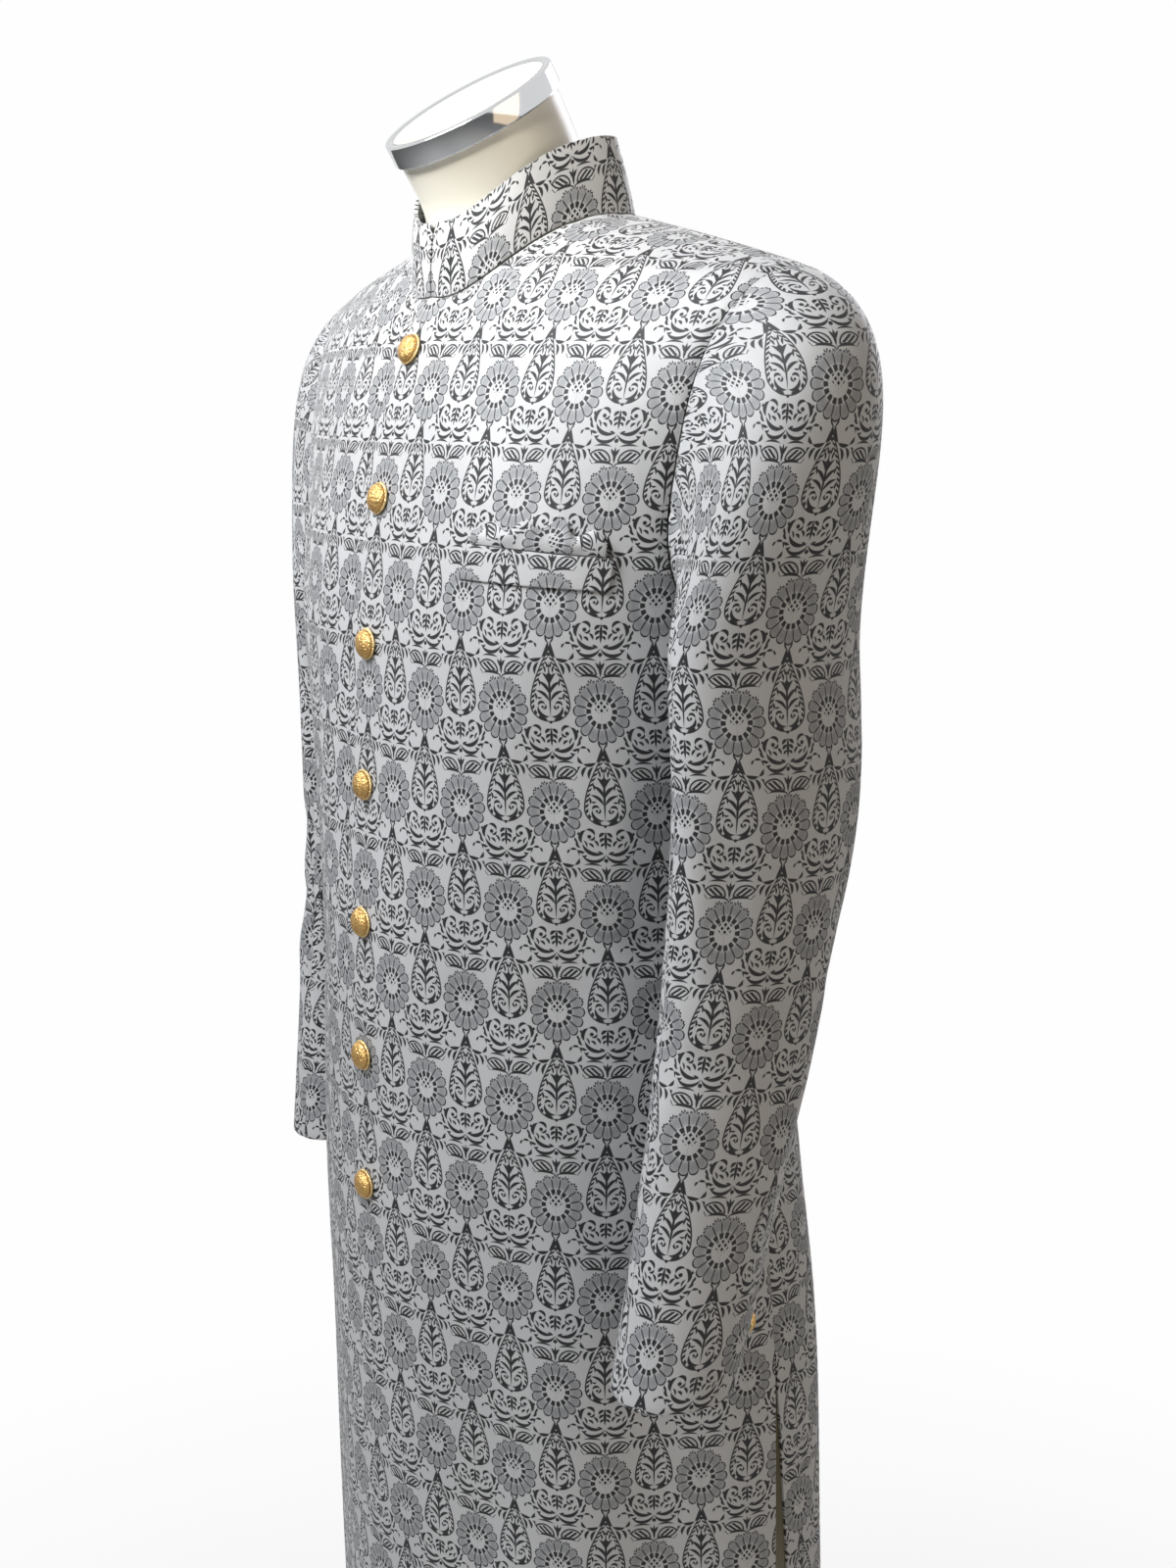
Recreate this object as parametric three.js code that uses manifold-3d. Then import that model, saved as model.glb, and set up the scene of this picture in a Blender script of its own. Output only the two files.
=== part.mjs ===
// Sherwani coat standing on a limbless dress form. Millimetres, +Z up.
// The coat faces -Y and its left side is +X.
// The origin is on the floor, under the middle of the form's base.
import * as THREE from "three";
import { mergeVertices } from "three/addons/utils/BufferGeometryUtils.js";
import Module from "manifold-3d";

const { abs, asin, cos, max, min, PI, sign, sin, sqrt } = Math;
const wasm = await Module();
wasm.setup();

// ---- Driving dimensions ----
const cloth = { wall: 2.0, seamGap: 0.3, layerGap: 0.5 };
const heights = { hem: 400, slitTop: 812, armpit: 1225, frontNeck: 1420, backNeck: 1468 };
const shoulder = { neckX: 70, middleZ: 1478, tipX: 214, tipZ: 1431, seamY: 5, archWidth: 262 };
const sideSeamY = 15;
const overlap = { reach: 22, fade: 34 }; // left front over right front, each side of the centre line
const steps = { skirt: 5, body: 7, chest: 8, neck: 4, shoulder: 4, collar: 3, form: 12 };
const sleeveSteps = { arm: 7, head: 5 };
const slit = { front: 5, back: 8 }; // degrees that each edge stands open at the hem
const collarSize = { height: 42, wall: 2.4, lean: 3, forward: 12, corner: 7, frontGap: 1.2, middleY: -20 };
const buttonSize = { radius: 9.5, height: 5.6, topZ: 1390, spacing: 84, count: 7, turns: 12 };
const cuffButton = { radius: 8, up: 22, lift: 2.8 };
// The pocket's place is in degrees round the chest and up the shoulder arch.
const pocket = { turnFrom: 20.5, turnTo: 54, riseTop: 14.8, riseBottom: 10, wall: 1.2 };
const square = { wall: 1.2, peaks: [8, 15, 11, 19, 14, 22, 12, 17, 9], inset: 2 };
const liningSize = { wall: 1.0, hemUp: 18, rowsPastSlit: 2 };
const stand = { poleRadius: 12.5, baseRadius: 190, baseHeight: 12, capHeight: 14, capRadius: 53.5 };

// The coat's section at each height: half its width, its front and back, and how square each half is.
const bodyRows = [
  { z: 400, halfWidth: 212, front: -152, back: 122, frontPower: 1.8, backPower: 2.1 },
  { z: 600, halfWidth: 206, front: -150, back: 119, frontPower: 1.8, backPower: 2.1 },
  { z: 812, halfWidth: 197, front: -149, back: 118, frontPower: 1.85, backPower: 2.1 },
  { z: 970, halfWidth: 183, front: -146, back: 101, frontPower: 1.95, backPower: 2.15 },
  { z: 1060, halfWidth: 178, front: -142, back: 92, frontPower: 2.1, backPower: 2.2 },
  { z: 1138, halfWidth: 181, front: -137, back: 98, frontPower: 2.3, backPower: 2.2 },
  { z: 1225, halfWidth: 192, front: -131, back: 110, frontPower: 2.5, backPower: 2.2 },
];

// The armhole edge: degrees round the section from the centre line, against degrees up the shoulder arch.
const armholeRows = [
  { rise: 0, turn: 90 },
  { rise: 6, turn: 74 },
  { rise: 15, turn: 65.5 },
  { rise: 30, turn: 61 },
  { rise: 50, turn: 57 },
  { rise: 70, turn: 56 },
  { rise: 90, turn: 56 },
];

// Sections down a sleeve: its centre, half its size across and front to back, and how far it tips forward.
const sleeveRows = [
  { x: 214, y: -9, yRight: -6, z: 1222, across: 33, deep: 62, tip: 0 },
  { x: 215, y: -8, yRight: -5, z: 1140, across: 32, deep: 62, tip: 3 },
  { x: 215, y: -23, yRight: -13, z: 1040, across: 31, deep: 55, tip: 6 },
  { x: 218, y: -50, yRight: -30, z: 935, across: 32, deep: 45, tip: 6 },
  { x: 222, y: -81, yRight: -48, z: 830, across: 34, deep: 36, tip: -4 },
];
const sleeveSeams = { front: -118, back: 78 }; // degrees round the sleeve from its outer side
const sleeveHead = { fullness: 310, least: 0.17, fall: 0.28, gather: 3, clear: 2 };

// The form's section at each height, up to its armpits.
const formRows = [
  { z: 770, halfWidth: 150, front: -112, back: 84, frontPower: 2.1, backPower: 2.1 },
  { z: 860, halfWidth: 160, front: -120, back: 90, frontPower: 2.1, backPower: 2.1 },
  { z: 1040, halfWidth: 152, front: -116, back: 76, frontPower: 2.1, backPower: 2.1 },
  { z: 1225, halfWidth: 172, front: -119, back: 98, frontPower: 2.3, backPower: 2.2 },
];
const neckRows = [
  { y: -8, z: 1395, radius: 58, tip: 0 },
  { y: -19, z: 1450, radius: 52, tip: 12 },
  { y: -29, z: 1487, radius: 50, tip: 24 },
  { y: -45, z: 1517, radius: 50.5, tip: 31 },
];

// ---- Small tools ----
const vec = (x, y, z) => new THREE.Vector3(x, y, z);
const radians = THREE.MathUtils.degToRad;
const degrees = THREE.MathUtils.radToDeg;
const mix = THREE.MathUtils.lerp;
const power = (value, exponent) => sign(value) * abs(value) ** exponent;
const ease = (value) => THREE.MathUtils.smoothstep(value, 0, 1);
const range = (count, make) => Array.from({ length: count + 1 }, (_, i) => make(i / count, i));
const mirrored = (point, side) => vec(point.x * side, point.y, point.z);

// A row of the table at any value of its key, on a smooth curve through the rows.
function rowAt(rows, key, value) {
  const lastSpan = rows.length - 2;
  const rising = rows[0][key] < rows[1][key];
  const reached = rows.findLastIndex((row) => (rising ? row[key] <= value : row[key] >= value));
  const i = min(lastSpan, max(0, reached));
  const span = rows[i + 1][key] - rows[i][key];
  const t = (value - rows[i][key]) / span;
  const mixed = {};
  for (const column of Object.keys(rows[0])) {
    const slopeAt = (k) => {
      const before = rows[max(0, k - 1)];
      const after = rows[min(rows.length - 1, k + 1)];
      return (after[column] - before[column]) / (after[key] - before[key]);
    };
    mixed[column] =
      rows[i][column] * (1 + 2 * t) * (1 - t) ** 2 +
      rows[i + 1][column] * t * t * (3 - 2 * t) +
      slopeAt(i) * span * t * (1 - t) ** 2 -
      slopeAt(i + 1) * span * t * t * (1 - t);
  }
  return mixed;
}

// ---- The torso, shared by the coat and the form ----
// face is -1 for the front and 1 for the back, and turn runs from 0 at the centre line to 90 at the side.
function sectionPoint(row, face, turn, z) {
  const depth = face < 0 ? sideSeamY - row.front : row.back - sideSeamY;
  const roundness = 2 / (face < 0 ? row.frontPower : row.backPower);
  const x = row.halfWidth * power(sin(radians(turn)), roundness);
  return vec(x, sideSeamY + face * depth * power(cos(radians(turn)), roundness), z);
}

// The height of the shoulder line over each distance from the middle.
function shoulderZ(x) {
  const t = abs(x) / shoulder.tipX;
  return shoulder.middleZ + (shoulder.tipZ - shoulder.middleZ) * (0.85 * t + 0.15 * t * t);
}

// Above the armpits the section closes over the shoulders as an arch: rise is 0 at the armpit and 90 on top.
function archPoint(shape, face, turn, rise) {
  const row = rowAt(shape.rows, "z", heights.armpit);
  const climb = radians(rise);
  const width = row.halfWidth + (shape.archWidth - row.halfWidth) * sin(climb) ** 1.5;
  const depth = face < 0 ? sideSeamY - row.front : row.back - sideSeamY;
  const frontPower = row.frontPower + (row.backPower - row.frontPower) * sin(climb);
  const roundness = 2 / (face < 0 ? frontPower : row.backPower);
  const x = width * power(sin(radians(turn)), roundness);
  const middleY = sideSeamY + (shoulder.seamY - sideSeamY) * sin(climb);
  const flattened = shape.upperChestFlat * sin(2 * climb) * cos(climb) ** 2;
  const reach = face < 0 ? cos(climb) - flattened : cos(climb) ** shape.upperBackPower;
  const y = middleY + face * depth * power(cos(radians(turn)), roundness) * reach;
  const top = shoulderZ(x) - shape.drop;
  return vec(x, y, heights.armpit + (top - heights.armpit) * sin(climb));
}

const arching = { upperChestFlat: 0.09, upperBackPower: 0.85 };
const formClear = 6; // under the shoulders
const coatShape = { rows: bodyRows, archWidth: shoulder.archWidth, drop: 0, ...arching };
const formShape = { rows: formRows, archWidth: 206, drop: cloth.wall + formClear, ...arching };

// How far round the section the neckline meets the shoulder seam, and how far up it starts in the middle.
const neckTurn = degrees(asin((shoulder.neckX / shoulder.archWidth) ** (2.2 / 2)));
const armholeTurn = (rise) => rowAt(armholeRows, "rise", rise).turn;
const centreRise = (z) => degrees(asin((z - heights.armpit) / (shoulder.middleZ - heights.armpit)));

// A panel's columns as shares of the way to the armhole: first under the neck, then under the shoulder.
const neckShare = neckTurn / armholeTurn(90);
const columnShares = [
  ...range(steps.neck, (t) => neckShare * sin((t * PI) / 2)),
  ...range(steps.shoulder, (t) => neckShare + (1 - neckShare) * t).slice(1),
];

// The side seams end at this height, and the slits open below it.
const slitUp = (heights.slitTop - heights.hem) / (heights.armpit - heights.hem);

// The top of a column: on the neckline, a quarter of an ellipse, or on the shoulder seam.
function topRise(face, share) {
  const start = centreRise(face < 0 ? heights.frontNeck : heights.backNeck);
  const across = min(1, share / neckShare);
  return 90 - (90 - start) * sqrt(max(0, 1 - across * across));
}

// A point of a panel: share is across it, and up is 0 to 1 from the hem to the armpit and 1 to 2 above it.
function panelPoint(face, share, up) {
  if (up > 1) {
    const rise = (up - 1) * topRise(face, share);
    return archPoint(coatShape, face, share * armholeTurn(rise), rise);
  }
  const z = heights.hem + (heights.armpit - heights.hem) * up;
  const opening = (face < 0 ? slit.front : slit.back) * max(0, 1 - up / slitUp);
  return sectionPoint(rowAt(bodyRows, "z", z), face, share * (90 - opening), z);
}

const upSteps = [
  ...range(steps.skirt, (t) => slitUp * t).slice(0, -1),
  ...range(steps.body, (t) => slitUp + (1 - slitUp) * t).slice(0, -1),
  ...range(steps.chest, (t) => 1 + t),
];

// A front's point past the centre line, at a distance in millimetres across it.
function lapPoint(up, x) {
  const probe = 0.02;
  const share = (abs(x) * probe) / panelPoint(-1, probe, up).x;
  return mirrored(panelPoint(-1, share, up), sign(x));
}

// ---- Cloth walls ----
// The outward normal at each point of a grid of rows, which run up, and columns, which run left on the front.
function gridNormals(grid, side) {
  return grid.map((row, j) =>
    row.map((_, i) => {
      const along = row[min(i + 1, row.length - 1)].clone().sub(row[max(i - 1, 0)]);
      const up = grid[min(j + 1, grid.length - 1)][i].clone().sub(grid[max(j - 1, 0)][i]);
      return along.cross(up).multiplyScalar(side).normalize();
    }),
  );
}

const moved = (grid, normals, distance) =>
  grid.map((row, j) => row.map((p, i) => p.clone().addScaledVector(normals[j][i], distance)));

// A closed wall between two grids of points, the first outside the second.
function wallGeometry(outer, inner, side) {
  const [rows, columns] = [outer.length, outer[0].length];
  const at = (layer, j, i) => (layer * rows + j) * columns + i;
  const faces = [];
  const quad = (a, b, c, d) => faces.push(...(side > 0 ? [a, b, c, a, c, d] : [a, c, b, a, d, c]));
  for (let j = 0; j < rows - 1; j++) {
    for (let i = 0; i < columns - 1; i++) {
      quad(at(0, j, i), at(0, j, i + 1), at(0, j + 1, i + 1), at(0, j + 1, i));
      quad(at(1, j, i), at(1, j + 1, i), at(1, j + 1, i + 1), at(1, j, i + 1));
    }
    quad(at(0, j, 0), at(0, j + 1, 0), at(1, j + 1, 0), at(1, j, 0));
    const end = columns - 1;
    quad(at(0, j, end), at(1, j, end), at(1, j + 1, end), at(0, j + 1, end));
  }
  for (let i = 0; i < columns - 1; i++) {
    quad(at(0, 0, i), at(1, 0, i), at(1, 0, i + 1), at(0, 0, i + 1));
    const top = rows - 1;
    quad(at(0, top, i), at(0, top, i + 1), at(1, top, i + 1), at(1, top, i));
  }
  return new THREE.BufferGeometry().setFromPoints([...outer.flat(), ...inner.flat()]).setIndex(faces);
}

// Pulls the rim of a grid in by half a seam gap, along the cloth.
function trimmed(grid) {
  const pull = (p, q) => p.clone().add(q.clone().sub(p).setLength(cloth.seamGap / 2));
  const [top, end] = [grid.length - 1, grid[0].length - 1];
  const sides = grid.map((row) => row.with(0, pull(row[0], row[1])).with(end, pull(row[end], row[end - 1])));
  const bottomRow = sides[0].map((p, i) => pull(p, sides[1][i]));
  const topRow = sides[top].map((p, i) => pull(p, sides[top - 1][i]));
  return sides.with(0, bottomRow).with(top, topRow);
}

// A piece of cloth with its outer face on the grid.
function clothWall(grid, normals, side, thickness = cloth.wall) {
  const outer = trimmed(grid);
  return wallGeometry(outer, moved(outer, normals, -thickness), side);
}

const coat = new THREE.Group();
function add(name, geometry, material) {
  const mesh = new THREE.Mesh(geometry, material);
  mesh.name = name;
  coat.add(mesh);
  return mesh;
}

// ---- Materials ----
const finish = (color, roughness, metalness = 0) =>
  new THREE.MeshStandardMaterial({ color, roughness, metalness });
const brocade = finish(0x8f9296, 0.5);
const liningCloth = finish(0x5d4c2e, 0.45);
const gilt = finish(0xd8a14a, 0.3, 1);
const ivory = finish(0xf0ead8, 0.35);
const chrome = finish(0xd9dadb, 0.08, 1);
const steel = finish(0xb9babb, 0.3, 1);

// ---- The coat's surface: fronts, back and sleeves ----
const average = (a, b) => a.clone().add(b).normalize();

// The left half of each face, from a column past the centre line to the side seam and the armhole.
const frontHalf = upSteps.map((up) => [
  lapPoint(up, -overlap.reach),
  ...columnShares.map((share) => panelPoint(-1, share, up)),
]);
const backHalf = upSteps.map((up) => [
  mirrored(panelPoint(1, columnShares[1], up), -1),
  ...columnShares.map((share) => panelPoint(1, share, up)),
]);
const frontNormals = gridNormals(frontHalf, 1);
const backNormals = gridNormals(backHalf, -1);

// Where pieces meet, both take the same normal: here along the side seam and the shoulder seam.
const [topRow, sideColumn] = [upSteps.length - 1, columnShares.length];
function shareNormal(j, i) {
  const common = average(frontNormals[j][i], backNormals[j][i]);
  frontNormals[j][i] = common;
  backNormals[j][i] = common;
}
upSteps.forEach((up, j) => up >= slitUp && up <= 1 && shareNormal(j, sideColumn));
for (let i = 1 + steps.neck; i <= sideColumn; i++) shareNormal(topRow, i);

// Half the coat's width where a sleeve lies against it.
function bodyX(y, z) {
  const row = rowAt(bodyRows, "z", min(z, heights.armpit));
  const depth = y < sideSeamY ? sideSeamY - row.front : row.back - sideSeamY;
  const p = y < sideSeamY ? row.frontPower : row.backPower;
  return row.halfWidth * max(0, 1 - min(1, abs(y - sideSeamY) / depth) ** p) ** (1 / p);
}

// The armhole from the armpit up the front and down the back, with the degrees round the sleeve.
const armpitRow = upSteps.indexOf(1);
const armholeOf = (grid, other) => [
  ...grid.slice(armpitRow).map((row) => row[sideColumn]),
  ...other.slice(armpitRow, topRow).map((row) => row[sideColumn]).reverse(),
];
const armhole = armholeOf(frontHalf, backHalf);
const armholeAngles = (() => {
  const lengths = [0];
  armhole.slice(1).forEach((p, i) => lengths.push(lengths[i] + p.distanceTo(armhole[i])));
  const [front, whole] = [lengths[topRow - armpitRow], lengths.at(-1)];
  return lengths.map((s) => (s <= front ? -180 + (180 * s) / front : (180 * (s - front)) / (whole - front)));
})();

function sleevePoint(row, side, angle) {
  const [across, along] = [row.across * cos(radians(angle)), row.deep * sin(radians(angle))];
  const y = (side > 0 ? row.y : row.yRight) + along * cos(radians(row.tip));
  const z = row.z - along * sin(radians(row.tip));
  return vec(max(row.x + across, bodyX(y, z) + cloth.wall + sleeveHead.clear), y, z);
}

// A sleeve's columns run round from the armpit over the front, the outer side and the back. Its rows run up.
function sleeveGrid(side) {
  const [cuff, top] = [sleeveRows.at(-1).z, sleeveRows[0].z];
  const rows = range(sleeveSteps.arm, (t) => rowAt(sleeveRows, "z", cuff + (top - cuff) * t)).map((row) =>
    armholeAngles.map((angle) => sleevePoint(row, side, angle)),
  );
  const head = range(sleeveSteps.head, (t) =>
    armhole.map((seam, i) => {
      const [below, end] = [rows.at(-2)[i], rows.at(-1)[i]];
      const outerness = (1 + cos(radians(armholeAngles[i]))) / 2;
      const share = sleeveHead.least + (1 - sleeveHead.least) * outerness ** sleeveHead.gather;
      const outward = sleeveHead.fullness * share;
      const arriving = end.clone().sub(below).setLength(end.distanceTo(seam));
      const leaving = vec(-outward, 0, outward * sleeveHead.fall);
      return vec(0, 0, 0)
        .addScaledVector(end, (1 + 2 * t) * (1 - t) ** 2)
        .addScaledVector(seam, t * t * (3 - 2 * t))
        .addScaledVector(arriving, t * (1 - t) ** 2)
        .addScaledVector(leaving, -t * t * (1 - t));
    }),
  );
  return [...rows.slice(0, -1), ...head];
}

// The sleeves come before the panels, because both meet along the armholes.
const sleeves = { 1: sleeveGrid(1), "-1": sleeveGrid(-1) };
const sleeveNormals = {};
for (const side of [1, -1]) {
  const normals = gridNormals(sleeves[side], 1);
  normals.forEach((row) => (row[0] = row[row.length - 1] = average(row[0], row[row.length - 1])));
  sleeveNormals[side] = normals;
}

// Both walls take the same normal along the armhole as well, except under the arm, where they fold apart.
const meeting = (own, other) => (own.dot(other) > 0 ? average(own, other) : own.clone());
const panelEdge = armholeOf(frontNormals, backNormals);
const sleeveEdge = sleeveNormals[1].at(-1);
for (const side of [1, -1]) {
  sleeveNormals[side][sleeveNormals[side].length - 1] = sleeveEdge.map((n, i) => meeting(n, panelEdge[i]));
}
for (let j = armpitRow; j <= topRow; j++) {
  const [front, back] = [j - armpitRow, panelEdge.length - 1 - (j - armpitRow)];
  frontNormals[j][sideColumn] = meeting(panelEdge[front], sleeveEdge[front]);
  backNormals[j][sideColumn] = meeting(panelEdge[back], sleeveEdge[back]);
}

// ---- Fronts and back ----
// Each front passes the centre line by the overlap, and the right one lies under the left one.
const flip = (grid) => grid.map((row) => row.map((p) => mirrored(p, -1)));
const under = frontHalf.map((row, j) =>
  row.map((p, i) => {
    const depth = (cloth.wall + cloth.layerGap) * ease(1 - (p.x - overlap.reach) / overlap.fade);
    return p.clone().addScaledVector(frontNormals[j][i], -depth);
  }),
);
add("front_left", clothWall(frontHalf, frontNormals, 1), brocade);
add("front_right", clothWall(flip(under), flip(frontNormals), -1), brocade);

const wholeRow = (row) => [...row.slice(2).reverse().map((p) => mirrored(p, -1)), ...row.slice(1)];
const wholeBack = (grid) => grid.map(wholeRow);
const backGrid = wholeBack(backHalf);
const backGridNormals = wholeBack(backNormals);
add("back", clothWall(backGrid, backGridNormals, -1), brocade);

// The lining inside the back skirt, which shows where the side slits open.
{
  const inside = moved(backGrid, backGridNormals, -(cloth.wall + cloth.layerGap));
  const outer = inside.slice(0, steps.skirt + liningSize.rowsPastSlit);
  const risen = (p, above) => p.clone().lerp(above, liningSize.hemUp / above.distanceTo(p));
  outer[0] = outer[0].map((p, i) => risen(p, outer[1][i]));
  const normals = backGridNormals.slice(0, outer.length);
  add("lining_back_skirt", clothWall(outer, normals, -1, liningSize.wall), liningCloth);
}

// ---- Sleeves ----
const columnNear = (angle) => armholeAngles.findIndex((a) => a >= angle);
const [frontSeam, backSeam] = [columnNear(sleeveSeams.front), columnNear(sleeveSeams.back)];
const topPart = (grid) => grid.map((row) => row.slice(frontSeam, backSeam + 1));
const underPart = (grid) => grid.map((row) => [...row.slice(backSeam), ...row.slice(1, frontSeam + 1)]);
for (const [name, side] of [["left", 1], ["right", -1]]) {
  const turned = (grid) => grid.map((row) => row.map((p) => mirrored(p, side)));
  const [grid, normals] = [turned(sleeves[side]), turned(sleeveNormals[side])];
  add(`sleeve_${name}_top`, clothWall(topPart(grid), topPart(normals), side), brocade);
  add(`sleeve_${name}_under`, clothWall(underPart(grid), underPart(normals), side), brocade);
}

// ---- Collar ----
// It stands on the neckline, from the centre front round the back, with rounded front corners.
{
  const front = frontHalf[topRow].slice(1, 2 + steps.neck);
  const back = backHalf[topRow].slice(1, 1 + steps.neck).reverse();
  const nearEnd = [0.3, 1].map((t) => front[0].clone().lerp(front[1], (t * collarSize.corner) / front[1].x));
  const left = [front[0].clone().setX(collarSize.frontGap / 2), ...nearEnd, ...front.slice(1), ...back];
  const base = [...left, ...left.slice(0, -1).reverse().map((p) => mirrored(p, -1))];
  const rows = range(steps.collar, (t) =>
    base.map((p) => {
      const fromEnd = p.y < collarSize.middleY ? min(1, abs(p.x) / collarSize.corner) : 1;
      const height = (collarSize.height - collarSize.corner * (1 - sqrt(1 - (1 - fromEnd) ** 2))) * t;
      const inward = vec(-p.x, collarSize.middleY - p.y, 0).setLength(collarSize.lean * t * t);
      const backness = ease((p.y - collarSize.middleY) / 60);
      return p.clone().add(inward).add(vec(0, -collarSize.forward * backness * t, height + cloth.seamGap));
    }),
  );
  add("collar", clothWall(rows, gridNormals(rows, 1), 1, collarSize.wall), brocade);
}

// ---- Breast pocket ----
// A patch that lies on the left front, from the chest's own points moved out.
function chestPatch(name, columns, rows, turnAt, riseAt, thickness) {
  const grid = range(rows, (t, j) =>
    range(columns, (u, i) => archPoint(coatShape, -1, turnAt(u), riseAt(u, t, i, j))),
  );
  const normals = gridNormals(grid, 1);
  const base = moved(grid, normals, cloth.layerGap);
  add(name, wallGeometry(moved(base, normals, thickness), base, 1), brocade);
}
const risePerMm = degrees(1 / (shoulder.middleZ - heights.armpit));
chestPatch(
  "pocket_welt",
  8,
  2,
  (u) => mix(pocket.turnFrom, pocket.turnTo, u),
  (u, t) => mix(pocket.riseBottom, pocket.riseTop, t),
  pocket.wall,
);
chestPatch(
  "pocket_square",
  square.peaks.length - 1,
  3,
  (u) => mix(pocket.turnFrom + square.inset, pocket.turnTo - square.inset, u),
  (u, t, i) => pocket.riseTop + risePerMm * (cloth.seamGap + square.peaks[i] * t),
  square.wall,
);

// ---- Buttons ----
function button(name, radius, at, facing, lift) {
  const { height } = buttonSize;
  const profile = [[0, 0], [0.8, 0], [1, 0.35], [0.86, 0.7], [0.45, 0.94], [0, 1]];
  const points = profile.map(([r, h]) => new THREE.Vector2(r * radius, h * height));
  const made = add(name, new THREE.LatheGeometry(points, buttonSize.turns), gilt);
  made.position.copy(at).addScaledVector(facing, lift);
  made.quaternion.setFromUnitVectors(vec(0, 1, 0), facing);
}
function frontCentre(z) {
  if (z <= heights.armpit) return sectionPoint(rowAt(bodyRows, "z", z), -1, 0, z);
  return archPoint(coatShape, -1, 0, centreRise(z));
}
for (let i = 0; i < buttonSize.count; i++) {
  const z = buttonSize.topZ - i * buttonSize.spacing;
  const rising = frontCentre(z + 1).sub(frontCentre(z - 1)).normalize();
  button(`button_${i + 1}`, buttonSize.radius, frontCentre(z), vec(0, -rising.z, rising.y), cloth.layerGap);
}
for (const [name, side] of [["left", 1], ["right", -1]]) {
  const row = rowAt(sleeveRows, "z", sleeveRows.at(-1).z + cuffButton.up);
  const angle = armholeAngles[backSeam];
  const [at, beside] = [sleevePoint(row, side, angle), sleevePoint(row, side, angle + 2)];
  const facing = beside.sub(at).cross(vec(0, 0, 1)).normalize();
  const place = [mirrored(at, side), mirrored(facing, side)];
  button(`cuff_button_${name}`, cuffButton.radius, ...place, cuffButton.lift);
}

// ---- Dress form and stand ----
const toSolid = (geometry) => {
  const bare = new THREE.BufferGeometry().setAttribute("position", geometry.getAttribute("position"));
  const merged = mergeVertices(bare.setIndex(geometry.index), 1e-4);
  const vertProperties = merged.getAttribute("position").array;
  const triVerts = Uint32Array.from(merged.index.array);
  return new wasm.Manifold(new wasm.Mesh({ numProp: 3, vertProperties, triVerts }));
};
const fromSolid = (solid) => {
  const { vertProperties, triVerts } = solid.getMesh();
  const positions = new THREE.BufferAttribute(vertProperties, 3);
  return new THREE.BufferGeometry().setAttribute("position", positions).setIndex(Array.from(triVerts));
};

// A closed solid through rings that run anticlockwise seen from above, flat at both ends.
function ringSolid(rings) {
  const count = rings[0].length;
  const centre = (ring) => ring.reduce((sum, p) => sum.add(p), vec(0, 0, 0)).divideScalar(count);
  const faces = [];
  const [bottom, top] = [rings.length * count, rings.length * count + 1];
  for (let i = 0; i < count; i++) {
    const next = (i + 1) % count;
    for (let j = 0; j < rings.length - 1; j++) {
      const [a, b, c, d] = [j * count + i, j * count + next, (j + 1) * count + next, (j + 1) * count + i];
      faces.push(a, b, c, a, c, d);
    }
    faces.push(bottom, next, i, top, (rings.length - 1) * count + i, (rings.length - 1) * count + next);
  }
  const points = [...rings.flat(), centre(rings[0]), centre(rings.at(-1))];
  return toSolid(new THREE.BufferGeometry().setFromPoints(points).setIndex(faces));
}

// A ring of the form: across the front from right to left, then across the back.
function formRing(pointAt) {
  const half = range(steps.form, (t) => -90 + 180 * t);
  const front = half.map((turn) => mirrored(pointAt(-1, abs(turn)), turn < 0 ? -1 : 1));
  const back = half.map((turn) => mirrored(pointAt(1, abs(turn)), turn < 0 ? 1 : -1));
  return [...front.slice(0, -1), ...back.slice(0, -1)];
}
{
  const sections = range(6, (t) => formRows[0].z + (heights.armpit - formRows[0].z) * t).map((z) =>
    formRing((face, turn) => sectionPoint(rowAt(formRows, "z", z), face, turn, z)),
  );
  const arch = range(8, (t) => 90 * t).slice(1).map((rise) =>
    formRing((face, turn) => archPoint(formShape, face, turn, rise)),
  );
  const neck = neckRows.map((row) =>
    range(steps.form * 2, (t) => {
      const [x, y] = [row.radius * cos(2 * PI * t), row.radius * sin(2 * PI * t)];
      return vec(x, row.y + y * cos(radians(row.tip)), row.z + y * sin(radians(row.tip)));
    }).slice(0, -1),
  );
  add("form_body", fromSolid(ringSolid([...sections, ...arch]).add(ringSolid(neck))), ivory);
}

// A turned piece from the radius and height of each corner of its profile, bevelled where it says.
function turnedPiece(name, radius, bottom, top, bevel, material, sides) {
  const corners = [[0, bottom], [radius - bevel, bottom], [radius, bottom + bevel]];
  corners.push([radius, top - bevel], [radius - bevel, top], [0, top]);
  const profile = corners.map(([r, h]) => new THREE.Vector2(r, h));
  const made = add(name, new THREE.LatheGeometry(profile, sides), material);
  made.rotation.x = PI / 2;
  return made;
}
const neckTop = neckRows.at(-1);
const cap = turnedPiece("form_neck_cap", stand.capRadius, cloth.seamGap, stand.capHeight, 1.2, chrome, 36);
cap.rotation.x += radians(neckTop.tip);
cap.position.set(0, neckTop.y, neckTop.z);
turnedPiece("stand_pole", stand.poleRadius, stand.baseHeight + 0.3, formRows[0].z - 0.3, 1, steel, 24);
turnedPiece("stand_base", stand.baseRadius, 0, stand.baseHeight, 1.5, steel, 44);

export default coat;
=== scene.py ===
import math
from functools import partial

import bmesh
import bpy
import numpy as np
from mathutils import Euler, Matrix, Vector


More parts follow.
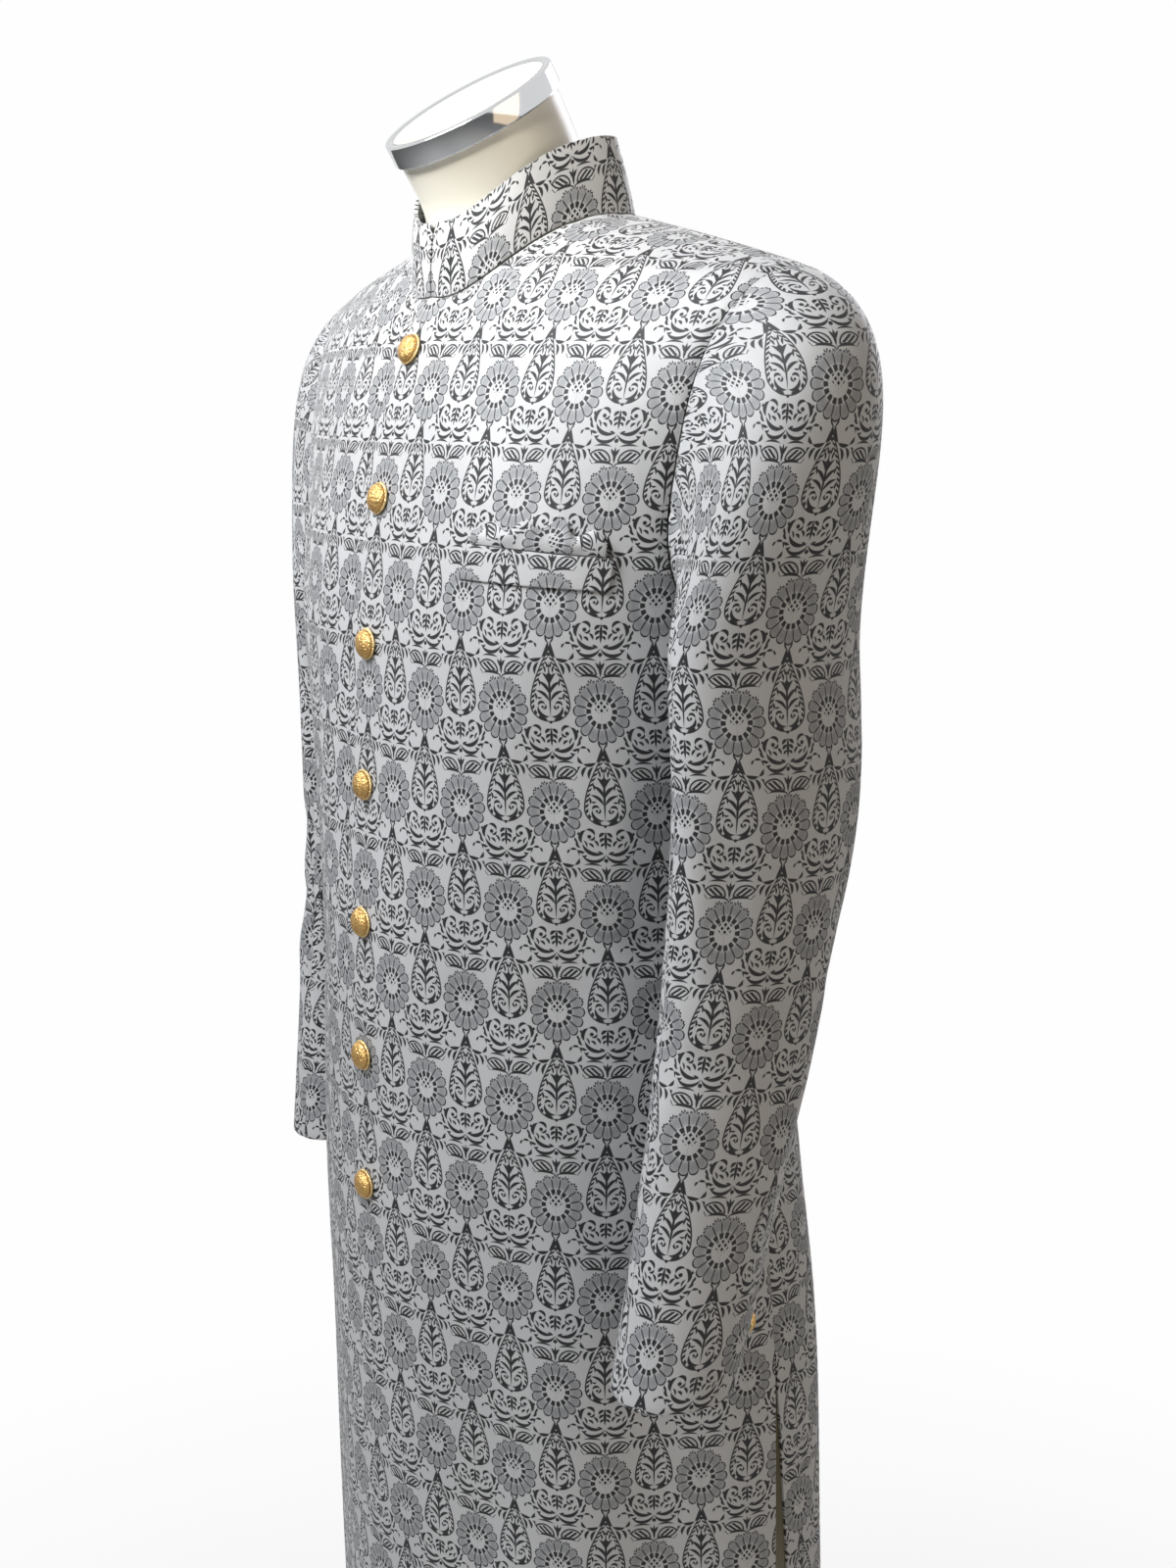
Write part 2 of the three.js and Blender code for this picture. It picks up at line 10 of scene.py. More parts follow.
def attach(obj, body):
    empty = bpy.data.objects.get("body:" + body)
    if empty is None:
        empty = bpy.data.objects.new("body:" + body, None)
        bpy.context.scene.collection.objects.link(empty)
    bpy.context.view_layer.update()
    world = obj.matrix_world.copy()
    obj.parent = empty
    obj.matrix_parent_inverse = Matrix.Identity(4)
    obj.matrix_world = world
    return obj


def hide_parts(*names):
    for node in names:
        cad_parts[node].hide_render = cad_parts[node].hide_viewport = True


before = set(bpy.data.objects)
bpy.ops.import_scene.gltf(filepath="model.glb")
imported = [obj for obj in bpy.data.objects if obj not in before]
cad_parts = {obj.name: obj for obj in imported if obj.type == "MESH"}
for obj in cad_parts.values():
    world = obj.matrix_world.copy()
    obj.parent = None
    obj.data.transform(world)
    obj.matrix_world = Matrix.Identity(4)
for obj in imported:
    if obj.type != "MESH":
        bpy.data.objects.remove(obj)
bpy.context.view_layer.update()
mm = 0.001
print("frame loaded")

# Lengths in the dictionaries are millimetres unless a note says otherwise.
# The coat faces -Y and its left side is +X.


def linear(hexColour):  # "#rrggbb" as the eye sees it, to linear light
    parts = [int(hexColour[i:i + 2], 16) / 255 for i in (1, 3, 5)]
    return (*[c / 12.92 if c <= 0.04045 else ((c + 0.055) / 1.055) ** 2.4 for c in parts], 1.0)


def addNode(tree, kind, *inputs, out=0, sockets=None, **settings):
    made = tree.nodes.new("ShaderNode" + kind)
    for name, value in settings.items():
        setattr(made, name, value)
    named = [(made.inputs[name], value) for name, value in (sockets or {}).items()]
    for socket, value in [*zip(made.inputs, inputs), *named]:
        if isinstance(value, bpy.types.NodeSocket):
            tree.links.new(value, socket)
        elif value is not None:
            socket.default_value = value
    return made.outputs[out] if made.outputs else made


def newMaterial(name):  # the material, and addNode for its tree
    material = bpy.data.materials.new(name)
    material.use_nodes = True
    material.node_tree.nodes.clear()
    return material, partial(addNode, material.node_tree)


# ---- camera and light first
viewPoint = dict(place=(0.975, -0.672, 1.381), down=12.5, turn=54.4, roll=-0.92, lens=43.6)
camera = bpy.data.objects.new("camera", bpy.data.cameras.new("camera"))
bpy.context.scene.collection.objects.link(camera)
aim = Euler((math.radians(90 - viewPoint["down"]), 0, math.radians(viewPoint["turn"]))).to_matrix()
roll = Matrix.Rotation(math.radians(viewPoint["roll"]), 3, "Z")
camera.matrix_world = Matrix.Translation(viewPoint["place"]) @ (aim @ roll).to_4x4()
camera.data.sensor_width = 36
camera.data.lens = viewPoint["lens"]
camera.data.clip_start, camera.data.clip_end = 0.05, 60
bpy.context.scene.camera = camera

lights = dict(
    window=dict(place=(-0.2, -1.15, 2.35), size=(0.8, 0.6), watts=34, colour="#f5f8fd", at=(0, 0, 1.4)),
    neck=dict(place=(0.32, -0.85, 2.05), size=(0.2, 0.2), watts=0.3, colour="#fffaf0", at=(0.02, -0.03, 1.53),
              spread=34),
    fill=dict(place=(2.6, 0.4, 1.6), size=(1.6, 2.0), watts=8, colour="#ffe2bc", at=(0.1, 0, 1.0)),
    behind=dict(place=(-0.8, 2.4, 2.1), size=(1.4, 1.4), watts=22, colour="#f4f6ff", at=(0, 0, 1.2)),
)
for name, setting in lights.items():
    lamp = bpy.data.objects.new(name, bpy.data.lights.new(name, "AREA"))
    bpy.context.scene.collection.objects.link(lamp)
    lamp.data.shape = "RECTANGLE"
    lamp.data.size, lamp.data.size_y = setting["size"]
    lamp.data.spread = math.radians(setting.get("spread", 180))
    lamp.data.energy = setting["watts"]
    lamp.data.color = linear(setting["colour"])[:3]
    lamp.location = setting["place"]
    lamp.rotation_euler = (Vector(setting["at"]) - lamp.location).to_track_quat("-Z", "Y").to_euler()

studio = dict(air="#fefefe", ambient=0.13, seen=1.0, mirrored=0.85)
world = bpy.data.worlds.new("studio")
bpy.context.scene.world = world
world.use_nodes = True
world.node_tree.nodes.clear()
put = partial(addNode, world.node_tree)
rays = put("LightPath").node
strength = studio["ambient"]
for ray, brightness in (("Is Camera Ray", studio["seen"]), ("Is Glossy Ray", studio["mirrored"])):
    strength = put("Math", rays.outputs[ray], brightness - studio["ambient"], strength,
                   operation="MULTIPLY_ADD")
put("OutputWorld", put("Background", linear(studio["air"]), strength))
bpy.context.scene.view_settings.view_transform = "Standard"
print("camera and lights placed")

# ---- the brocade's drawing
# A repeat is one flower over one teardrop with scrolls between, and the next column is half a repeat lower.
# Everything is drawn on the right half of a column and mirrored. x runs out from its middle, y runs down from
# the flower's centre.
weave = dict(width=57.5, height=116.0, firstRow=-30.0, crisp=0.3, bold=1.22)
# how much of the way to the next column a column owns, at each share of the repeat below its flower
edgePlaces = [(0, 0.565), (0.07, 0.52), (0.112, 0.41), (0.14, 0.36), (0.18, 0.49), (0.25, 0.5), (0.32, 0.51),
              (0.36, 0.64), (0.388, 0.59), (0.43, 0.48)]
flower = dict(petals=16, petalIn=8.6, petalOut=12.8, petalRise=2.8, outline=0.46, splitShare=0.8, squash=0.87,
              notchAbove=12.0, notchBeat=24.0, notchDepth=0.45, hatchLean=3.5, hatchBeat=5.2, hatchDepth=0.35,
              hatchMean=0.5, petalFade=2.0, seeds=14, seedRing=7.2, seedLong=1.35, seedWide=1.2,
              seedNarrow=3.4)
# the dark lozenges in the flower's middle
heart = dict(across=1.85, down=1.5, phase=0.9, y=-2.9, radius=4.0, fill=0.32)
drop = dict(top=22.0, widest=55.0, halfWidth=11.5, swell=0.6, squat=1.2, line=0.42, rope=0.85, ropeIn=1.6,
            ropeLean=0.9, beat=2.1, heavy=0.3)
leaf = dict(up=(2, -20.4, 14.2, -24.2, 4.4), down=(2, -20.4, 14.2, -24.2, -2.6), line=0.5, lineIn=0.6,
            hatchIn=1.2, slantX=1.9, slantY=2.1, gap=-0.35)
# Strokes go from x, y to x, y with a bulge and a width. A bulge is upwards on a stroke drawn outwards, and
# outwards on one drawn down.
strokes = [
    (1, 79.8, 13, 74.8, -3.2, 1.9),
    (13, 74.8, 10.8, 67.2, -2.1, 1.9), (10.8, 67.2, 6.2, 70.2, -1.8, 1.5), (6.2, 70.2, 9, 72.2, -1.2, 1.1),
    (14, 77.4, 15.8, 73.4, -1, 1.3), (13.9, 70.4, 15.6, 66.8, -0.7, 1.2), (11.6, 79.8, 15, 78.4, -0.8, 1.3),
    (15.2, 74.6, 17.2, 71.2, -0.5, 1.1), (4.2, 76.4, 6.6, 72.8, 0.7, 1.2), (6.8, 77.2, 9.6, 74.8, 0.7, 1.2),
    (10.4, 77, 12.2, 73, 0.6, 0.9), (0, 67.4, 0, 78.4, 0.05, 1.3), (0.3, 68.6, 3.4, 71.2, 0.7, 1.6),
    (0.3, 71.6, 3, 74, 0.7, 1.5), (0.3, 74.6, 2.5, 76.6, 0.6, 1.2), (0, 80.8, 13.2, 81.6, -4, 1.7),
    (13.2, 81.6, 10.8, 81.2, 1, 1.1), (1.6, 81.2, 4.6, 79.4, 0.5, 1.1), (5.6, 82, 9.2, 80.6, 0.6, 1.1),
    (0.2, -18.2, 11.8, -19, 1.5, 1.5), (11.8, -19, 14, -22, -1, 1.3), (0, -28.4, 0, -19, 0.05, 1.3),
    (0.6, -22.8, 2.6, -27.2, 0.5, 1.2), (2, -28.2, 12.4, -28.6, 1, 1), (2.4, 15.6, 0, 21, 0.7, 0.9),
    (0, 30, 0, 62, 0.05, 1), (0.2, 43.6, 4, 37, 1.1, 1.5), (0.4, 48.6, 6.4, 41.8, 1.4, 1.6),
    (0.6, 52.8, 7.8, 47, 1.5, 1.5), (0.4, 61.2, 6.8, 55.4, -2.6, 1.6), (6.8, 55.4, 3, 54.6, -1.7, 1.3),
    (3, 54.6, 4.4, 57, -1.2, 1), (1.6, 63.4, 7, 61, -0.9, 1.2), (2.2, 37, 3.4, 32.4, 0.5, 1),
    (1, 34.4, 1.9, 30.2, 0.3, 0.9), (5.6, 44.4, 6.6, 40, 0.5, 1), (8, 52.2, 8.6, 48, 0.5, 1),
    (4.6, 50.6, 7.4, 50.4, -0.6, 0.9),
]


def volute(x, y, heading, chord, turn, width, arcs=6, shrink=0.8, thin=0.88):
    # a scroll of arcs, each turned further and shorter than the last
    for _ in range(arcs):
        endX = x + chord * math.cos(math.radians(heading))
        endY = y + chord * math.sin(math.radians(heading))
        strokes.append((x, y, endX, endY, -chord / 2 * math.tan(math.radians(turn / 4)), width))
        x, y, heading, chord, width = endX, endY, heading - turn, chord * shrink, width * thin


volute(1.0, 20.0, 70, 9.0, 62, 2.0)  # springs from the drop's point
hanging = dict(count=3, apart=3.5, x=5.5, y=31.0, tipX=8.0, tipY=38.0, bulge=1.2, width=1.5)
for step in range(hanging["count"]):  # plain leaves that hang from it beside the drop
    over = hanging["apart"] * step
    strokes.append((hanging["x"] + over, hanging["y"], hanging["tipX"] + over, hanging["tipY"] - step,
                    hanging["bulge"], hanging["width"]))
dots = [(0, 26.8, 0.9), (0, 33, 0.8), (0, 38.4, 1.4), (9, 70.8, 1.15), (4.4, 56, 0.75), (0, 84.4, 1.2),
        (0, 64.6, 0.9), (0, 24, 0.6)]  # x, y, radius


def circleOf(x1, y1, x2, y2, bulge):  # centre, radius, outward direction and the cosine at the ends of an arc
    chord = math.hypot(x2 - x1, y2 - y1)
    sag = abs(bulge)
    radius = (chord * chord / 4 + sag * sag) / (2 * sag)
    out = Vector((y2 - y1, x1 - x2)).normalized() * (1 if bulge > 0 else -1)
    centre = Vector(((x1 + x2) / 2, (y1 + y2) / 2)) + out * (sag - radius)
    return centre, radius, out, math.cos(2 * math.atan2(2 * sag, chord))


def makePattern():  # a node group from cloth coordinates in metres to the two tones drawn on the ground
    tree = bpy.data.node_groups.new("brocade drawing", "ShaderNodeTree")
    put = partial(addNode, tree)
    tree.interface.new_socket("Cloth", in_out="INPUT", socket_type="NodeSocketVector")
    for name in ("Line", "Petal"):
        tree.interface.new_socket(name, in_out="OUTPUT", socket_type="NodeSocketFloat")
    cloth = tree.nodes.new("NodeGroupInput").outputs[0]
    sums = "ADD", "SUBTRACT", "MULTIPLY", "MULTIPLY_ADD", "MINIMUM", "MAXIMUM", "ABSOLUTE"
    add, subtract, multiply, multiplyAdd, smaller, larger, absolute = [dict(operation=name) for name in sums]
    width, height, firstRow = weave["width"], weave["height"], weave["firstRow"]

    scaled = put("VectorMath", cloth, (1 / (width * mm), -1 / (height * mm), 0), operation="MULTIPLY")
    across = put("SeparateXYZ", scaled)
    down = across.node.outputs[1]
    near = put("Math", across, put("Math", across, operation="ROUND"), **subtract)
    near = put("Math", near, **absolute)
    edge = put("FloatCurve", 1.0, put("Math", down, operation="FRACT"))
    places = edgePlaces + [(place + 0.5, 1 - share) for place, share in edgePlaces] + [(1, edgePlaces[0][1])]
    curve = edge.node.mapping.curves[0]
    for _ in places[2:]:
        curve.points.new(0.5, 0.5)
    for point, place in zip(curve.points, places):
        point.location = place
        point.handle_type = "VECTOR"
    edge.node.mapping.update()
    edge = put("Math", edge, 0.5, **multiply)
    beyond = put("Math", near, edge, operation="GREATER_THAN")
    # past the edge the point belongs to the next column
    flipped = put("Math", put("Math", beyond, -2.0, 1.0, **multiplyAdd), near, **multiply)
    side = put("Math", beyond, 0.5, flipped, **multiplyAdd)
    x = put("Math", side, width, **multiply)
    row = put("Math", beyond, 0.5, down, **multiplyAdd)
    row = put("Math", row, -firstRow / height, **add)
    row = put("Math", row, operation="FRACT")
    y = put("Math", row, height, firstRow, **multiplyAdd)
    spot = put("CombineXYZ", x, y, 1.0)

    # the flower, round its centre, a little taller than wide
    flat = put("CombineXYZ", x, y, 0.0)
    squashed = put("VectorMath", flat, (1, flower["squash"], 0), operation="MULTIPLY")
    r = put("VectorMath", squashed, operation="LENGTH", out=1)
    angle = put("Math", x, put("Math", y, flower["squash"], **multiply), operation="ARCTAN2")
    petal = put("Math", angle, flower["petals"] / (2 * math.pi), 0.5, **multiplyAdd)
    petal = put("Math", put("Math", petal, operation="FRACT"), 0.5, **subtract)
    petal = put("Math", petal, **absolute)
    bow = put("Math", put("Math", petal, math.pi, **multiply), operation="COSINE")
    bow = put("Math", put("Math", bow, 0.0, **larger), 0.5, operation="POWER")
    upper = put("Math", put("Math", y, flower["notchAbove"], operation="DIVIDE"), 0.0, **smaller)
    notch = put("Math", put("Math", petal, flower["notchBeat"], **multiply), operation="COSINE")
    notch = put("Math", notch, upper, **multiply)
    rim = put("Math", bow, flower["petalRise"], flower["petalOut"], **multiplyAdd)
    rim = put("Math", notch, flower["notchDepth"], rim, **multiplyAdd)
    toRim = put("Math", rim, r, **subtract)
    inPetal = put("Math", toRim, put("Math", r, flower["petalIn"], **subtract), **smaller)
    outline = put("Math", flower["outline"], put("Math", toRim, **absolute), **subtract)
    split = put("Math", put("Math", 0.5, petal, **subtract), r, **multiply)
    split = put("Math", split, -2 * math.pi / flower["petals"], flower["outline"] * flower["splitShare"],
                **multiplyAdd)
    split = put("Math", split, inPetal, **smaller)
    marks = [outline, split]
    seed = put("Math", angle, flower["seeds"] / (2 * math.pi), **multiply)
    seed = put("Math", put("Math", seed, operation="FRACT"), 0.5, **subtract)
    seed = put("Math", put("Math", seed, **absolute), -flower["seedNarrow"], flower["seedWide"], **multiplyAdd)
    ring = put("Math", put("Math", r, flower["seedRing"], **subtract), **absolute)
    marks.append(put("Math", seed, put("Math", flower["seedLong"], ring, **subtract), **smaller))
    lozenges = []
    for way in (1, -1):
        slope = put("VectorMath", spot, (heart["across"], way * heart["down"], way * heart["phase"]),
                    operation="DOT_PRODUCT", out=1)
        lozenges.append(put("Math", slope, operation="COSINE"))
    core = put("VectorMath", flat, (0, heart["y"], 0), operation="DISTANCE", out=1)
    lozenge = put("Math", put("Math", *lozenges, **smaller), heart["fill"], **add)
    marks.append(put("Math", put("Math", heart["radius"], core, **subtract), lozenge, **smaller))
    hatch = put("Math", petal, flower["hatchLean"], r, **multiplyAdd)
    hatch = put("Math", hatch, flower["hatchBeat"], **multiply)
    hatch = put("Math", put("Math", hatch, operation="SINE"), flower["hatchDepth"], flower["hatchMean"],
                **multiplyAdd)
    petalTone = put("Math", put("Math", inPetal, flower["petalFade"], **multiply), hatch, **multiply,
                    use_clamp=True)

    # the teardrop: how far inside its edge a point is
    swelling = put("MapRange", y, drop["top"], drop["widest"], interpolation_type="SMOOTHSTEP")
    swelling = put("Math", swelling, drop["swell"], operation="POWER")
    aside = put("Math", x, **absolute)
    sideIn = put("Math", put("Math", swelling, drop["halfWidth"], **multiply), aside, **subtract)
    lower = put("Math", y, drop["squat"], -drop["squat"] * drop["widest"], **multiplyAdd)
    base = put("VectorMath", put("CombineXYZ", x, lower, 0.0), operation="LENGTH", out=1)
    baseIn = put("Math", drop["halfWidth"], base, **subtract)
    aboveWidest = put("Math", y, drop["widest"], operation="LESS_THAN")
    inDrop = put("Math", aboveWidest, put("Math", sideIn, baseIn, **subtract), baseIn, **multiplyAdd)
    bands = []
    for wide, into in ((drop["line"], drop["line"]), (drop["rope"], drop["ropeIn"])):
        off = put("Math", put("Math", inDrop, into, **subtract), **absolute)
        bands.append(put("Math", wide, off, **subtract))
    block = put("Math", y, put("Math", inDrop, drop["ropeLean"], **multiply), **add)
    block = put("Math", put("Math", block, drop["beat"], **multiply), operation="SINE")
    block = put("Math", block, drop["heavy"], **add)
    marks += [bands[0], put("Math", bands[1], block, **smaller)]

    # the leaf pair: an outline between two arcs, with slanted strokes in it
    sides = []
    for arc in (leaf["up"], leaf["down"]):
        centre, radius, _, _ = circleOf(*arc)
        away = put("VectorMath", flat, (*centre, 0), operation="DISTANCE", out=1)
        sides.append(put("Math", radius, away, **subtract))
    inLeaf = put("Math", *sides, **smaller)
    leafLine = put("Math", put("Math", inLeaf, leaf["line"] * leaf["lineIn"], **subtract), **absolute)
    slant = put("VectorMath", flat, (leaf["slantX"], leaf["slantY"], 0), operation="DOT_PRODUCT", out=1)
    slant = put("Math", put("Math", slant, operation="SINE"), leaf["gap"], **subtract)
    slant = put("Math", slant, put("Math", inLeaf, leaf["hatchIn"], **subtract), **smaller)
    marks += [put("Math", leaf["line"], leafLine, **subtract), slant]

    for x1, y1, x2, y2, bulge, thick in strokes:  # swelling arcs that taper to both ends
        centre, radius, out, endCosine = circleOf(x1, y1, x2, y2, bulge)
        swell = thick * weave["bold"] / 2 / (1 - endCosine)
        facing = put("VectorMath", spot, (out.x, out.y, -out.dot(centre)), operation="DOT_PRODUCT", out=1)
        off = put("VectorMath", spot, (*centre, 1), operation="DISTANCE", out=1)
        half = put("Math", facing, off, operation="DIVIDE")
        half = put("Math", half, swell, -swell * endCosine, **multiplyAdd)
        off = put("Math", put("Math", off, radius, **subtract), **absolute)
        marks.append(put("Math", half, off, **subtract))
    for x0, y0, radius in dots:
        off = put("VectorMath", spot, (x0, y0, 1), operation="DISTANCE", out=1)
        marks.append(put("Math", radius, off, **subtract))

    lines = marks[0]
    for mark in marks[1:]:
        lines = put("Math", lines, mark, **larger)
    mask = put("Math", lines, 1 / weave["crisp"], 0.5, **multiplyAdd, use_clamp=True)
    output = tree.nodes.new("NodeGroupOutput")
    tree.links.new(mask, output.inputs[0])
    tree.links.new(petalTone, output.inputs[1])
    return tree


pattern = makePattern()
print("brocade drawn:", len(pattern.nodes), "nodes")

# ---- materials
# Threads are drawn at 0.9 mm, some four times coarser than real ones, so that they show.
brocadeLook = dict(ground="#cbcbcb", petal="#97989a", line="#0e0e12", groundRough=0.42, lineRough=0.55,
                   sheen=0.08, sheenRough=0.4, thread=0.9, bump=0.25, high=0.3, mottlesPerMetre=9.0,
                   mottled=0.22, darkest=0.89, ribShade=0.05)


def brocade(name, turn=0.0, shift=(0.0, 0.0)):
    # silk-faced jacquard: a pale satin ground, dark duller figuring, and ribs where the threads cross
    look = brocadeLook
    multiplyAdd = dict(operation="MULTIPLY_ADD")
    material, put = newMaterial(name)
    cloth = put("UVMap", uv_map="cloth")
    placed = put("Mapping", cloth, (shift[0] * mm, shift[1] * mm, 0), (0, 0, math.radians(turn)))
    line = put("Group", placed, node_tree=pattern)
    petal = line.node.outputs[1]
    beat = 2 * math.pi / (look["thread"] * mm)
    threads = put("VectorMath", placed, (beat, beat, 0), operation="MULTIPLY")
    warp, weft = [put("Math", put("SeparateXYZ", threads, out=way), operation="SINE") for way in (0, 1)]
    ribs = put("Math", warp, weft, operation="MULTIPLY")
    uneven = put("TexNoise", placed, sockets={"Scale": look["mottlesPerMetre"], "Detail": 3.0})
    shade = put("Math", uneven, look["mottled"], look["darkest"], **multiplyAdd)
    shade = put("Math", ribs, look["ribShade"], shade, **multiplyAdd)
    colour = put("MixRGB", petal, linear(look["ground"]), linear(look["petal"]))
    colour = put("MixRGB", line, colour, linear(look["line"]))
    colour = put("VectorMath", colour, operation="SCALE", sockets={"Scale": shade})
    rough = put("Math", line, look["lineRough"] - look["groundRough"], look["groundRough"], **multiplyAdd)
    bump = put("Bump", sockets={"Strength": look["bump"], "Distance": look["high"] * mm, "Height": ribs})
    put("OutputMaterial", put("BsdfPrincipled", sockets={
        "Base Color": colour, "Roughness": rough, "Normal": bump, "Sheen Weight": look["sheen"],
        "Sheen Roughness": look["sheenRough"], "IOR": 1.5}))
    return material


brocadeSatin = brocade("silk brocade")
satinLook = dict(dark="#8a7a4c", pale="#b3a470", streaksPerMetre=(900, 30, 1), rough=0.38, sheen=0.2,
                 bump=0.2, high=0.3)


def satinLining():  # acetate lining satin: smooth olive gold with a long soft gloss
    look = satinLook
    material, put = newMaterial("olive lining satin")
    cloth = put("Mapping", put("UVMap", uv_map="cloth"), None, None, look["streaksPerMetre"])
    streaks = put("TexNoise", cloth, sockets={"Scale": 1.0, "Detail": 2.0})
    colour = put("MixRGB", streaks, linear(look["dark"]), linear(look["pale"]))
    bump = put("Bump", sockets={"Strength": look["bump"], "Distance": look["high"] * mm, "Height": streaks})
    put("OutputMaterial", put("BsdfPrincipled", sockets={
        "Base Color": colour, "Roughness": look["rough"], "Normal": bump, "Sheen Weight": look["sheen"]}))
    return material


liningSatin = satinLining()
shellLook = dict(dark="#f7f1df", pale="#fffbee", cloudsPerMetre=14.0, rough=0.24, roughSpread=0.12, bump=0.08,
                 high=1.0, coat=0.3, coatRough=0.15)


def ivoryPlastic():  # polished glass-fibre shell: warm white, soft gloss, a very slight unevenness
    look = shellLook
    material, put = newMaterial("ivory lacquered fibreglass")
    place = put("TexCoord", out=3)
    cloudy = put("TexNoise", place, sockets={"Scale": look["cloudsPerMetre"], "Detail": 4.0})
    colour = put("MixRGB", cloudy, linear(look["dark"]), linear(look["pale"]))
    rough = put("Math", cloudy, look["roughSpread"], look["rough"], operation="MULTIPLY_ADD")
    bump = put("Bump", sockets={"Strength": look["bump"], "Distance": look["high"] * mm, "Height": cloudy})
    put("OutputMaterial", put("BsdfPrincipled", sockets={
        "Base Color": colour, "Roughness": rough, "Normal": bump, "Coat Weight": look["coat"],
        "Coat Roughness": look["coatRough"]}))
    return material


# plating wears darker along its handling marks; a button's lower parts also get painted shade
plating = dict(worn=0.25, paintedShade=0.6, roughSpread=0.12, bump=0.15, high=0.2)
# the punched ground between a button's scrolls
chasing = dict(cellsPerMetre=560.0, deep=2.4, bump=0.75, high=0.5)


def metal(name, colour, dark, rough, marksPerMetre, relief=False):
    # plated metal: colour, wear and fine handling marks; the relief attribute lays painted shade on what lies
    # deep
    surface = chasing if relief else plating
    material, put = newMaterial(name)
    place = put("TexCoord", out=3)
    marks = put("TexNoise", place, sockets={"Scale": marksPerMetre, "Detail": 4.0})
    wearAndPaintedShade = put("Math", marks, plating["worn"], operation="MULTIPLY")
    if relief:
        raised = put("Attribute", attribute_name="relief", out=2)
        # painted shade: the lower a part of a button lies, the darker its plating is drawn
        paintedShade = put("Math", 1.0, raised, operation="SUBTRACT")
        wearAndPaintedShade = put("Math", paintedShade, plating["paintedShade"], wearAndPaintedShade, operation="MULTIPLY_ADD", use_clamp=True)
        chased = put("TexVoronoi", place, feature="DISTANCE_TO_EDGE",
                     sockets={"Scale": chasing["cellsPerMetre"]})
        marks = put("Math", chased, chasing["deep"], marks, operation="MULTIPLY_ADD")
    tint = put("MixRGB", wearAndPaintedShade, linear(colour), linear(dark))
    spread = plating["roughSpread"]
    roughness = put("Math", marks, spread, rough - spread / 2, operation="MULTIPLY_ADD")
    bump = put("Bump", sockets={"Strength": surface["bump"], "Distance": surface["high"] * mm,
                                "Height": marks})
    put("OutputMaterial", put("BsdfPrincipled", sockets={
        "Base Color": tint, "Roughness": roughness, "Normal": bump, "Metallic": 1.0}))
    return material


ivoryShell = ivoryPlastic()
giltMetal = metal("gold-plated brass", "#ffe3a6", "#c08f48", 0.34, 900, relief=True)
chromeMetal = metal("polished chrome", "#e4e6e8", "#b9bcbf", 0.09, 60)
brushedSteel = metal("brushed stainless steel", "#c4c6c8", "#8d9094", 0.30, 140)


# ---- the coat's surface, from its pattern tables
def tableOf(names, *rows):
    return dict(zip(names.split(), np.array(rows, float).T))


def smooth(start, end, leaving, arriving, t):  # a curve with the given slopes at its ends
    return (start * (1 + 2 * t) * (1 - t) ** 2 + end * t * t * (3 - 2 * t)
            + leaving * t * (1 - t) ** 2 - arriving * t * t * (1 - t))


def rowAt(table, key, value):  # a smooth curve through the rows
    keys = table[key]
    way = 1 if keys[1] > keys[0] else -1
    value = np.asarray(value, float)
    i = np.clip(np.searchsorted(way * keys, way * value, "right") - 1, 0, len(keys) - 2)
    span = keys[i + 1] - keys[i]
    t = (value - keys[i]) / span
    before = np.maximum(np.arange(len(keys)) - 1, 0)
    after = np.minimum(np.arange(len(keys)) + 1, len(keys) - 1)
    mixed = {}
    for name, column in table.items():
        slope = (column[after] - column[before]) / (keys[after] - keys[before])
        mixed[name] = smooth(column[i], column[i + 1], slope[i] * span, slope[i + 1] * span, t)
    return mixed


coat = dict(wall=1.8, layerGap=0.7, hem=400, slitTop=812, armpit=1225, frontNeck=1420, backNeck=1468, neckX=70,
            shoulderTop=1478, tipX=214, tipZ=1431, shoulderY=5, archWidth=262, sideY=15, lap=22, lapFade=34,
            slitFront=5, slitBack=8, chestFlat=0.09, backPower=0.85)
bodyRows = tableOf("z halfWidth front back frontPower backPower",
                   (400, 212, -152, 122, 1.8, 2.1), (600, 206, -150, 119, 1.8, 2.1),
                   (812, 197, -149, 118, 1.85, 2.1), (970, 183, -146, 101, 1.95, 2.15),
                   (1060, 178, -142, 92, 2.1, 2.2), (1138, 181, -137, 98, 2.3, 2.2),
                   (1225, 192, -131, 110, 2.5, 2.2))
armholeRows = tableOf("rise turn", (0, 90), (6, 74), (15, 65.5), (30, 61), (50, 57), (70, 56), (90, 56))
formRows = tableOf("z halfWidth front back frontPower backPower",
                   (770, 150, -112, 84, 2.1, 2.1), (860, 160, -120, 90, 2.1, 2.1),
                   (1040, 152, -116, 76, 2.1, 2.1), (1225, 172, -119, 98, 2.3, 2.2))
neckRows = tableOf("y z radius tip",
                   (-8, 1395, 58, 0), (-19, 1450, 52, 12), (-29, 1487, 50, 24), (-45, 1517, 50.5, 31))
slitUp = (coat["slitTop"] - coat["hem"]) / (coat["armpit"] - coat["hem"])


def stacked(x, y, z):
    return np.stack(np.broadcast_arrays(x, y, z), axis=-1).astype(float)


def ease(value):
    value = np.clip(value, 0, 1)
    return value * value * (3 - 2 * value)


def sectionPoint(row, face, turn, z):
    # face -1 is the front, 1 the back; turn is 0 in the middle and 90 at the side
    depth = coat["sideY"] - row["front"] if face < 0 else row["back"] - coat["sideY"]
    roundness = 2 / (row["frontPower"] if face < 0 else row["backPower"])
    angle = np.radians(turn)
    x = row["halfWidth"] * np.sin(angle) ** roundness
    y = coat["sideY"] + face * depth * np.maximum(np.cos(angle), 0) ** roundness
    return stacked(x, y, z)


